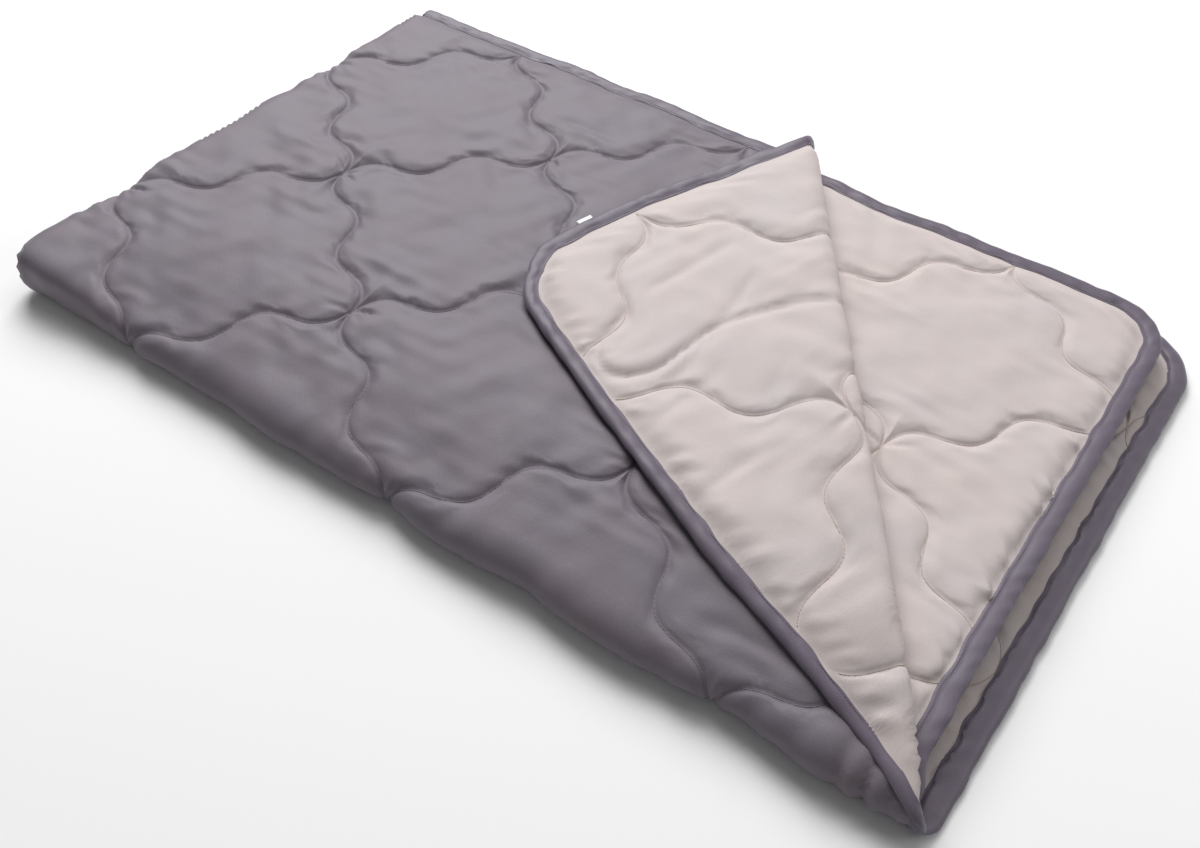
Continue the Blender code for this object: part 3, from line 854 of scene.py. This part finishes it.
def woven_cloth(name, colours, thread_mm, roughness, sheen, weave_depth, twill=0.0):
    """Cloth woven from fine filament: its colour drifts a little and its weave shows close up.

    colours are its cool, main and warm tones, and thread_mm is the spacing of its threads.
    """
    material = bpy.data.materials.new(name)
    material.use_nodes = True
    tree = material.node_tree
    shader = tree.nodes["Principled BSDF"]
    chart = add_node(tree, "ShaderNodeUVMap", uv_map="flat_cloth").outputs["UV"]
    drifting = {"Vector": chart, "Scale": 11.0, "Detail": 3.0, "Roughness": 0.55}
    drift = add_node(tree, "ShaderNodeTexNoise", drifting).outputs["Fac"]
    tones = add_node(tree, "ShaderNodeValToRGB", {"Fac": drift})
    cool, main, warm = [linear(colour) for colour in colours]
    ramp = tones.color_ramp
    ramp.elements[0].position, ramp.elements[0].color = 0.30, cool
    ramp.elements[1].position, ramp.elements[1].color = 0.70, warm
    ramp.elements.new(0.5).color = main

    turning = {"Vector": chart, "Rotation": (0, 0, twill)}
    turned = add_node(tree, "ShaderNodeMapping", turning).outputs["Vector"]
    per_metre = 1000 / thread_mm / (2 * pi)
    threads = {"Vector": turned, "Scale": per_metre, "Distortion": 0.6, "Detail": 1.0}
    warp = add_node(tree, "ShaderNodeTexWave", threads, bands_direction="X").outputs["Fac"]
    weft = add_node(tree, "ShaderNodeTexWave", threads, bands_direction="Y").outputs["Fac"]
    weave = add_node(tree, "ShaderNodeMath", {0: warp, 1: weft}, operation="MULTIPLY").outputs["Value"]
    thickening = {"Vector": chart, "Scale": 420.0, "Detail": 2.0}
    slub = add_node(tree, "ShaderNodeTexNoise", thickening).outputs["Fac"]
    grain = add_node(tree, "ShaderNodeMath", {0: slub, 1: weave}, operation="ADD").outputs["Value"]

    shading = {"Value": grain, "From Min": 0.3, "From Max": 1.5, "To Min": 0.93, "To Max": 1.06}
    shade = add_node(tree, "ShaderNodeMapRange", shading).outputs["Result"]
    toning = {0: tones.outputs["Color"], "Scale": shade}
    toned = add_node(tree, "ShaderNodeVectorMath", toning, operation="SCALE")
    tree.links.new(toned.outputs["Vector"], shader.inputs["Base Color"])
    glossing = {"Value": drift, "To Min": roughness - 0.05, "To Max": roughness + 0.05}
    gloss = add_node(tree, "ShaderNodeMapRange", glossing)
    tree.links.new(gloss.outputs["Result"], shader.inputs["Roughness"])

    crinkling = {"Vector": chart, "Scale": 55.0, "Detail": 4.0, "Roughness": 0.5}
    crinkle = add_node(tree, "ShaderNodeTexNoise", crinkling).outputs["Fac"]
    softening = {"Height": crinkle, "Strength": 0.35, "Distance": 0.0012}
    soft = add_node(tree, "ShaderNodeBump", softening).outputs["Normal"]
    weaving = {"Height": grain, "Strength": 0.5, "Distance": weave_depth, "Normal": soft}
    relief = add_node(tree, "ShaderNodeBump", weaving)
    tree.links.new(relief.outputs["Normal"], shader.inputs["Normal"])
    shader.inputs["Sheen Weight"].default_value = sheen
    shader.inputs["Sheen Roughness"].default_value = 0.35
    shader.inputs["Specular IOR Level"].default_value = 0.25
    return material


# Each cloth's tones, thread spacing in mm, roughness, sheen and weave depth in metres. The threads are
# coarser than real ones, so that they still show.
# Satin-woven polyester microfibre, calendered: a soft silky highlight and a faint diagonal twill
face_tones = ("#77717b", "#7a727b", "#7c727a")
face_satin = woven_cloth("satin_microfibre_mauve", face_tones, 0.9, 0.56, 0.08, 0.00012, 0.8)
# Plain-woven brushed microfibre: matt, warm cream, a faint square weave
lining_tones = ("#c8bfbe", "#cbc0be", "#cdc1be")
lining_cloth = woven_cloth("plain_microfibre_cream", lining_tones, 0.8, 0.62, 0.06, 0.00010)
# Folded bias tape of the face satin: the weave runs at 45 degrees
tape_tones = ("#69626f", "#6b6370", "#6d636f")
tape_satin = woven_cloth("bias_tape_satin", tape_tones, 0.9, 0.44, 0.18, 0.00012, pi / 4)
# Carded hollow-fibre wadding: white, matt and fuzzy
wadding_tones = ("#e4e4e0", "#e8e8e4", "#ebeae6")
wadding = woven_cloth("hollow_fibre_wadding", wadding_tones, 2.5, 0.95, 0.3, 0.0004)
# Woven satin ribbon with nothing printed on it
ribbon_tones = ("#efeff0", "#f2f2f2", "#f4f3f2")
label_ribbon = woven_cloth("blank_satin_ribbon", ribbon_tones, 0.6, 0.4, 0.1, 0.00008)


def sewing_thread(name, colour):
    """Spun polyester thread: a round twisted strand with a dull shine."""
    material = bpy.data.materials.new(name)
    material.use_nodes = True
    tree = material.node_tree
    shader = tree.nodes["Principled BSDF"]
    place = add_node(tree, "ShaderNodeTexCoord").outputs["Object"]
    twist = add_node(tree, "ShaderNodeTexNoise", {"Vector": place, "Scale": 900.0, "Detail": 1.0})
    base = linear(colour)
    tones = add_node(tree, "ShaderNodeValToRGB", {"Fac": twist.outputs["Fac"]})
    tones.color_ramp.elements[0].color = (*[c * 0.8 for c in base[:3]], 1)
    tones.color_ramp.elements[1].color = (*[min(c * 1.15, 1) for c in base[:3]], 1)
    tree.links.new(tones.outputs["Color"], shader.inputs["Base Color"])
    shader.inputs["Roughness"].default_value = 0.55
    shader.inputs["Sheen Weight"].default_value = 0.2
    return material


face_thread = sewing_thread("polyester_thread_mauve", "#8d7c88")
lining_thread = sewing_thread("polyester_thread_beige", "#c8b3a8")
tape_thread = sewing_thread("polyester_thread_dark_mauve", "#6c6070")

# ---------------------------------------------------------------- quilted cloths

PART_OF = {
    "layer4": ("layer4", "end_fold_upper"),
    "layer3": ("layer3",),
    "layer2": ("layer2",),
    "layer1": ("layer1", "end_fold_lower"),
    "near_fold_outer": ("near_fold_outer",),
    "near_fold_inner": ("near_fold_inner",),
    "crease_roll": ("crease_roll",),
    "flap": ("flap",),
}
BODY_OF = {
    "layer4": "upper_half",
    "layer3": "upper_half",
    "layer2": "lower_half",
    "layer1": "lower_half",
    "flap": "corner_flap",
}
# Grid fineness of each region's face fabric and of its lining: fine where it shows
FINENESS = {
    "layer4": (FINE, COARSE),
    "layer3": (COARSE, FINE),
    "layer2": (MEDIUM, COARSE),
    "layer1": (MEDIUM, FINE),
    "near_fold_outer": (FINE, COARSE),
    "near_fold_inner": (MEDIUM, MEDIUM),
    "crease_roll": (FINE, FINE),
    "flap": (MEDIUM, FINE),
}
WADDING_GAP = FABRIC + 0.0003                   # how far below the fabric's outer surface the wadding stays
WADDING_FULLNESS = 0.4                          # and the share of a puff that it fills, so it never shows
# A slanting plane across the roll: its height at the crease and how thick it is. The ends worked out from it
# are not used.
CREASE_BLEND = (0.0664, 0.0095)


def settle_on_body(piece, region):
    """Fixes the piece to the body that moves it; any other piece has its transform baked into its mesh and
    stays where it is.
    """
    if region in BODY_OF:
        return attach(piece, BODY_OF[region])
    if region == "crease_roll":
        at = CREASE_HINGE + CORNER
        start = Vector((at.x, at.y, CREASE_BLEND[0]))
        end = start + CREASE_BLEND[1] * Vector((-OUTWARDS.x, -OUTWARDS.y, 1)).normalized()
        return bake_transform(piece)
    reach = 0.5 * PITCH if region == "near_fold_inner" else 0.7 * PITCH
    at = NEAR_HINGE + CORNER
    start, end = (at.x, at.y, at.z - reach), (at.x, at.y, at.z + reach)
    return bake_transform(piece)


def add_cloths(region):
    """Face fabric, wadding and lining of one region."""
    face_steps, lining_steps = FINENESS[region]
    wadding_steps = FINE if region == "near_fold_outer" else MEDIUM
    wadding_top = (FACE, WADDING_GAP, WADDING_FULLNESS)
    wadding_bottom = (LINING, WADDING_GAP, WADDING_FULLNESS)
    cloths = [
        ("face_fabric", face_steps, (FACE, 0), (FACE, FABRIC), face_satin),
        ("batting", wadding_steps, wadding_top, wadding_bottom, wadding),
        ("lining_fabric", lining_steps, (LINING, FABRIC), (LINING, 0), lining_cloth),
    ]
    for kind, steps, upper, lower, material in cloths:
        piece = layer_of_cloth(f"{region}_{kind}_quilted", region, steps, upper, lower, material)
        settle_on_body(piece, region)
        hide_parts(*[f"{part}_{kind}" for part in PART_OF[region]])


for region in REGIONS:
    add_cloths(region)

# ---------------------------------------------------------------- binding tape

EDGE_STEP = 0.0024                              # between the tape's rows


def edge_path():
    """The bound edge all round, as flat (U, T) points one step apart, and the inward ways."""
    corners = [
        (LEFT_U, NEAR_RUN, 0), (LEFT_U, BACK_UPPER, CORNER_RADIUS), (RIGHT_INNER, BACK_UPPER, CORNER_RADIUS),
        (RIGHT_NEAR, 0, 0), (RIGHT_NEAR, NEAR_RUN, 0), (RIGHT_FLOOR, BACK_LOWER, CORNER_RADIUS),
        (LEFT_U, BACK_LOWER, CORNER_RADIUS),
    ]
    points, ways = [], []
    for k, (U, T, radius) in enumerate(corners):
        before, here, after = Vector(corners[k - 1][:2]), Vector((U, T)), Vector(corners[(k + 1) % 7][:2])
        coming, going = (here - before).normalized(), (after - here).normalized()
        if radius:
            turn = coming.angle(going)
            cut = radius * tan(turn / 2)
            inward = Vector((-coming.y, coming.x))
            centre = here - cut * coming + radius * inward
            for share in np.linspace(0, 1, int(radius * turn / EDGE_STEP)).tolist():
                spoke = Matrix.Rotation(turn * share, 2) @ (-inward)
                points.append(centre + radius * spoke)
                ways.append(-spoke)
        else:
            inward = Vector((-(coming + going).y, (coming + going).x)).normalized()
            points.append(here.copy())
            ways.append(inward)
        following = corners[(k + 1) % 7]
        next_going = (Vector(corners[(k + 2) % 7][:2]) - after).normalized()
        next_cut = following[2] * tan(going.angle(next_going) / 2)
        start = points[-1]
        stop = after - next_cut * going
        count = int((stop - start).length / EDGE_STEP)
        inward = Vector((-going.y, going.x))
        for n in range(1, count):
            points.append(start + (stop - start) * n / count)
            ways.append(inward)
    return np.array(points), np.array(ways)


EDGE_POINTS, EDGE_WAYS = edge_path()


def flat_from_run(U, T):
    """(U, V) of a place given as (U, T)."""
    radius = NEAR_RADIUS + END_RADIUS * np.cos(turn_of_end(U))
    turning = np.clip(T, 0, NEAR_RUN) * radius / NEAR_RADIUS
    ahead = np.minimum(T, 0) + turning + np.maximum(T - NEAR_RUN, 0)
    return U, FOLD_V - ahead


# The tape in section: how far in from the edge, and how far off the sheet's middle
TAPE_SECTION = [
    (0.0200, 0.0021), (0.0182, 0.0026), (0.0174, 0.0024), (0.0150, 0.0036),
    (0.0105, 0.0044), (0.0060, 0.0043), (0.0030, 0.0036), (0.0010, 0.0022),
]
TAPE_INSIDE = 0.0006                            # the tape's thickness
TOPSTITCH = (0.0174, 0.0026)                    # where its stitches lie in that section


def tape_ring():
    """The closed outline of the tape's section: outer skin there, inner skin back, mirrored."""
    outer = TAPE_SECTION + [(0.0, 0.0)] + [(inset, -lift) for inset, lift in reversed(TAPE_SECTION)]
    inner = []
    for inset, lift in reversed(outer):
        inner.append((max(inset, 2 * TAPE_INSIDE), np.sign(lift) * max(abs(lift) - TAPE_INSIDE, 0.0003)))
    return outer + inner


def add_tape(name, chosen, region, nodes):
    """Tape along the chosen stretch of the edge."""
    ring = tape_ring()
    points, ways = EDGE_POINTS[chosen], EDGE_WAYS[chosen]
    bm = bmesh.new()
    rows, columns = len(points), len(ring)
    bmesh.ops.create_grid(bm, x_segments=rows - 1, y_segments=columns, size=0.5)
    start = np.array([vert.co.to_tuple() for vert in bm.verts])
    row = np.rint((start[:, 0] + 0.5) * (rows - 1)).astype(int)
    column = np.rint((start[:, 1] + 0.5) * columns).astype(int) % columns
    section = np.array(ring)[column]
    place_along = np.array(chosen)[row] * EDGE_STEP
    pucker = ripple(place_along, 0 * place_along, 0.026, 51)
    side = np.sign(section[:, 1])
    inset = section[:, 0] + 0.0006 * ripple(place_along, 7 * side, 0.05, 52) * (section[:, 0] > 0.014)
    inset = inset - 0.0004 * pucker * (section[:, 0] < 0.002)
    tight = 1 - 0.25 * near_tip(points[row])
    wrinkle = ripple(place_along + 0.9 * section[:, 0], 3 * side, 0.013, 53)
    lift = section[:, 1] * tight * (1 + (0.09 * pucker + 0.06 * wrinkle) * (section[:, 0] < 0.0165))
    inset = inset * tape_width(*flat_from_run(points[row][:, 0], points[row][:, 1])) / TAPE_WIDTH
    flat = points[row] + inset[:, None] * ways[row]
    U, V = flat_from_run(flat[:, 0], flat[:, 1])
    place = folded(U, V, lift)
    for vert, co in zip(bm.verts, place.tolist()):
        vert.co = co
    bmesh.ops.remove_doubles(bm, verts=bm.verts, dist=1e-7)
    bmesh.ops.holes_fill(bm, edges=[edge for edge in bm.edges if edge.is_boundary])
    bmesh.ops.recalc_face_normals(bm, faces=bm.faces)
    mesh = bpy.data.meshes.new(name)
    bm.to_mesh(mesh)
    bm.free()
    if closed_volume(mesh) < 0:
        mesh.flip_normals()
    where = read(mesh.vertices, "co", 3)
    add_flat_map(mesh, where[:, 0] + where[:, 2], where[:, 1] - where[:, 2])
    mesh.shade_smooth()
    mesh.set_sharp_from_angle(angle=radians(55))
    piece = finished(name, mesh, tape_satin)
    settle_on_body(piece, region)
    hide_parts(*nodes)
    return piece


def near_tip(points):
    """1 at the turned corner's near tip, falling to 0 away from it."""
    U, V = flat_from_run(points[:, 0], points[:, 1])
    p, q = crease_place(U, V)
    return (1 - smooth_step(np.hypot(p, q) / 0.10)) * (V > FOLD_V - NEAR_RUN)


def edge_zone():
    """Which region each point of the edge belongs to."""
    U, V = flat_from_run(EDGE_POINTS[:, 0], EDGE_POINTS[:, 1])
    T = EDGE_POINTS[:, 1]
    p, q = crease_place(U, V)
    lower = T > NEAR_RUN
    wrap = (T >= 0) & ~lower
    zone = np.where(lower, "lower", np.where(wrap, np.where(U > 0, "outer", "inner"), "upper"))
    turned = (U > 0.3) & ~lower & (q > 0)
    zone = np.where(turned & (q <= ROLL_SHEET) & (p > 0.3), "roll_back", zone)
    zone = np.where(turned & (q <= ROLL_SHEET) & (p <= 0.3), "roll_front", zone)
    return np.where(turned & (q > ROLL_SHEET), "flap", zone)


def stretch(zone, zones):
    """The points of a zone in order, with the next one so that neighbours meet."""
    count = len(zones)
    inside = zones == zone
    first = next(k for k in range(count) if inside[k] and not inside[k - 1])
    chosen = [first]
    while inside[(chosen[-1] + 1) % count]:
        chosen.append((chosen[-1] + 1) % count)
    return [*chosen, (chosen[-1] + 1) % count]


ZONES = edge_zone()
add_tape("upper_binding_tape", stretch("upper", ZONES), "layer4",
         ["layer3_binding", "layer4_binding", "end_fold_upper_binding"])
add_tape("lower_binding_tape", stretch("lower", ZONES), "layer1",
         ["layer1_binding", "layer2_binding", "end_fold_lower_binding"])
add_tape("near_fold_outer_binding_tape", stretch("outer", ZONES), "near_fold_outer",
         ["near_fold_outer_binding"])
add_tape("near_fold_inner_binding_tape", stretch("inner", ZONES), "near_fold_inner",
         ["near_fold_inner_binding"])
add_tape("crease_roll_binding_tape_back", stretch("roll_back", ZONES), "crease_roll",
         ["crease_roll_binding_back"])
add_tape("crease_roll_binding_tape_front", stretch("roll_front", ZONES), "crease_roll",
         ["crease_roll_binding_front"])
add_tape("flap_binding_tape", stretch("flap", ZONES), "flap", ["flap_binding"])

# ---------------------------------------------------------------- sewing thread

def strand(name, runs, material, region, nodes=()):
    """Thread along runs of points: each stitch is a bead that dives into the cloth at both ends."""
    curve = bpy.data.curves.new(name, "CURVE")
    curve.dimensions = "3D"
    curve.bevel_depth = THREAD_RADIUS
    curve.bevel_resolution = 0
    curve.use_fill_caps = True
    beads = np.array([0.35, 0.95, 1.0, 0.95])   # the thread's thickness at the four points of a stitch
    for run in runs:
        spline = curve.splines.new("POLY")
        spline.points.add(len(run) - 1)
        spline.points.foreach_set("co", np.column_stack([run, np.ones(len(run))]).ravel())
        spline.points.foreach_set("radius", np.resize(beads, len(run)))
    shape = bpy.data.objects.new(name, curve)
    bpy.context.scene.collection.objects.link(shape)
    mesh = bpy.data.meshes.new_from_object(shape.evaluated_get(bpy.context.evaluated_depsgraph_get()))
    bpy.data.objects.remove(shape)
    bm = bmesh.new()
    bm.from_mesh(mesh)
    bmesh.ops.remove_doubles(bm, verts=bm.verts, dist=1e-6)
    bmesh.ops.recalc_face_normals(bm, faces=bm.faces)
    bm.to_mesh(mesh)
    bm.free()
    mesh.name = name
    mesh.shade_smooth()
    piece = finished(name, mesh, material)
    settle_on_body(piece, region)
    if nodes:
        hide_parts(*nodes)
    return piece


def inside_region(region, U, V):
    """Which flat places lie inside a region and clear of the tape."""
    T = -V if region in TURNED else run_of(U, V)
    keep = edge_distance(U, V)[0] > TAPE_WIDTH
    for place, way in REGIONS[region]:
        keep &= (U - place.x) * way.x + (T - place.y) * way.y < -0.0002
    return keep


def quilting_runs(region, side):
    """Every stretch of quilting inside a region, as points on its face or lining side."""
    low_u, high_u, low_v, high_v = lattice_box(FLAT_BOX[region])
    spacing = STITCH / 4 / SIDE_U.length
    runs = []
    for along_u in (True, False):
        lines = (low_v, high_v) if along_u else (low_u, high_u)
        reach = (low_u, high_u) if along_u else (low_v, high_v)
        steps = np.arange(reach[0], reach[1], spacing)
        for line in range(int(np.ceil(lines[0])), int(np.floor(lines[1])) + 1):
            still = np.full_like(steps, line)
            u, v = (steps, still) if along_u else (still, steps)
            keep = inside_region(region, *flat_place(u, v))
            breaks = np.flatnonzero(np.diff(keep.astype(int))) + 1
            for part in np.split(np.arange(len(steps)), breaks):
                if keep[part[0]] and len(part) > 12:
                    runs.append(surface(u[part], v[part], side, -0.6 * THREAD_RADIUS))
    return runs


# Region, side, thread, material slot and the CAD thread that it stands for
THREADS = [
    ("layer4", FACE, face_thread, "face_thread", ["layer4_quilting_thread"]),
    ("layer3", LINING, lining_thread, None, []),
    ("near_fold_outer", FACE, face_thread, "face_thread", []),
    ("crease_roll", LINING, lining_thread, None, []),
    ("flap", LINING, lining_thread, None, []),
    ("layer2", FACE, face_thread, "face_thread", []),
    ("layer3", FACE, face_thread, "face_thread", []),
    ("layer1", LINING, lining_thread, None, []),
    ("flap", FACE, face_thread, "face_thread", []),
]
for region, side, material, slot, nodes in THREADS:
    kind = "quilting_thread_face" if side == FACE else "quilting_thread_lining"
    strand(f"{region}_{kind}", quilting_runs(region, side), material, region, nodes)


row_U, row_V = smooth_row(CURLED_ROW, STITCH / 4)
for region in TURNED:
    keep = inside_region(region, row_U, row_V)
    lifted = folded(row_U[keep], row_V[keep], np.full(keep.sum(), -PINCHED - 0.0005))
    strand(f"{region}_curled_row_thread", [lifted], lining_thread, region)


def add_topstitch(name, zone, region, side):
    """The row of stitches that holds the tape, near its inner edge."""
    chosen = stretch(zone, ZONES)
    narrowed = tape_width(*flat_from_run(*EDGE_POINTS[chosen].T)) / TAPE_WIDTH
    points = EDGE_POINTS[chosen] + TOPSTITCH[0] * narrowed[:, None] * EDGE_WAYS[chosen]
    far = np.concatenate([[0], np.cumsum(np.linalg.norm(np.diff(points, axis=0), axis=1))])
    steps = np.arange(0, far[-1], STITCH / 4)
    U, V = flat_from_run(np.interp(steps, far, points[:, 0]), np.interp(steps, far, points[:, 1]))
    strand(name, [folded(U, V, side * np.full_like(U, TOPSTITCH[1]))], tape_thread, region)


add_topstitch("upper_topstitch_lining", "upper", "layer4", LINING)
add_topstitch("upper_topstitch_face", "upper", "layer4", FACE)
add_topstitch("lower_topstitch_lining", "lower", "layer1", LINING)
add_topstitch("flap_topstitch_lining", "flap", "flap", LINING)
add_topstitch("flap_topstitch_face", "flap", "flap", FACE)

# ---------------------------------------------------------------- care label

LABEL_WIDTH = 0.020
LABEL_LENGTH = 0.030
LABEL_U = RIGHT_INNER - 0.127                   # where it is sewn in along the back edge
LABEL_OUT = 0.009                               # how much of it shows past that edge
LABEL_LIFT = 0.0042


def add_label():
    """A blank ribbon sewn in under the turned corner's long edge."""
    bm = bmesh.new()
    bmesh.ops.create_grid(bm, x_segments=10, y_segments=14, size=0.5)
    bmesh.ops.solidify(bm, geom=bm.faces[:], thickness=0.03)
    start = np.array([vert.co.to_tuple() for vert in bm.verts])
    flat_U = LABEL_U + start[:, 0] * LABEL_WIDTH
    flat_V = WIDTH + LABEL_OUT + (start[:, 1] - 0.5) * LABEL_LENGTH
    place = folded(flat_U, flat_V, LABEL_LIFT + start[:, 2] * 0.02)
    for vert, co in zip(bm.verts, place.tolist()):
        vert.co = co
    bmesh.ops.recalc_face_normals(bm, faces=bm.faces)
    mesh = bpy.data.meshes.new("blank_care_label")
    bm.to_mesh(mesh)
    bm.free()
    where = read(mesh.vertices, "co", 3)
    add_flat_map(mesh, where[:, 0], where[:, 1])
    mesh.shade_smooth()
    piece = finished("blank_care_label", mesh, label_ribbon)
    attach(piece, "corner_flap")
    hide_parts("care_label")


add_label()

# ---------------------------------------------------------------- camera, light and floor

CAMERA_PLACE = CORNER + Vector((1.0942, -0.4569, 0.8780))
CAMERA_TURN = (33.68, 47.19, 2.19)              # azimuth, how far it looks down, and roll, in degrees
CAMERA_LENS = 34.86


def add_camera():
    """A look down on the open corner, from the right of the near side."""
    azimuth, elevation, roll = [radians(angle) for angle in CAMERA_TURN]
    camera = bpy.data.objects.new("camera", bpy.data.cameras.new("camera"))
    bpy.context.scene.collection.objects.link(camera)
    camera.data.sensor_width = 36
    camera.data.lens = CAMERA_LENS
    camera.data.clip_start = 0.01
    forward = Vector((-sin(azimuth) * cos(elevation), cos(azimuth) * cos(elevation), -sin(elevation)))
    right = Vector((cos(azimuth), sin(azimuth), 0))
    up = right.cross(forward)
    rolled_right = cos(roll) * right + sin(roll) * up
    rolled_up = -sin(roll) * right + cos(roll) * up
    turn = Matrix((rolled_right, rolled_up, -forward)).transposed()
    camera.matrix_world = Matrix.Translation(CAMERA_PLACE) @ turn.to_4x4()
    bpy.context.scene.camera = camera


def add_light(name, place, target, size, power):
    """A soft box that faces its target."""
    lamp = bpy.data.lights.new(name, "AREA")
    lamp.shape = "RECTANGLE"
    lamp.size, lamp.size_y = size
    lamp.energy = power
    light = bpy.data.objects.new(name, lamp)
    bpy.context.scene.collection.objects.link(light)
    light.location = place
    light.rotation_euler = (Vector(target) - Vector(place)).to_track_quat("-Z", "Y").to_euler()


def add_floor():
    """A sheet of white paper under the quilt."""
    bm = bmesh.new()
    bmesh.ops.create_grid(bm, x_segments=1, y_segments=1, size=12)
    mesh = bpy.data.meshes.new("studio_floor")
    bm.to_mesh(mesh)
    bm.free()
    material = bpy.data.materials.new("matt_white_paper")
    material.use_nodes = True
    shader = material.node_tree.nodes["Principled BSDF"]
    shader.inputs["Base Color"].default_value = linear("#fafafa")
    shader.inputs["Roughness"].default_value = 0.9
    shader.inputs["Specular IOR Level"].default_value = 0.1
    mesh.materials.append(material)
    floor = bpy.data.objects.new("studio_floor", mesh)
    floor.location.z = -0.0005
    bpy.context.scene.collection.objects.link(floor)


add_camera()
add_floor()
add_light("key", (-3.2, 3.0, 3.8), (0, 0, 0), (3.4, 3.4), 345)
add_light("fill", (-0.3, 1.4, 3.0), (0, 0, 0), (2.5, 2.5), 30)
add_light("side", (2.8, 1.6, 1.6), (0.3, 0, 0), (2.0, 1.2), 21)
world = bpy.data.worlds.new("studio")
bpy.context.scene.world = world
world.use_nodes = True
world.node_tree.nodes["Background"].inputs["Color"].default_value = (1, 1, 1, 1)
world.node_tree.nodes["Background"].inputs["Strength"].default_value = 0.18
bpy.context.scene.view_settings.view_transform = "Standard"
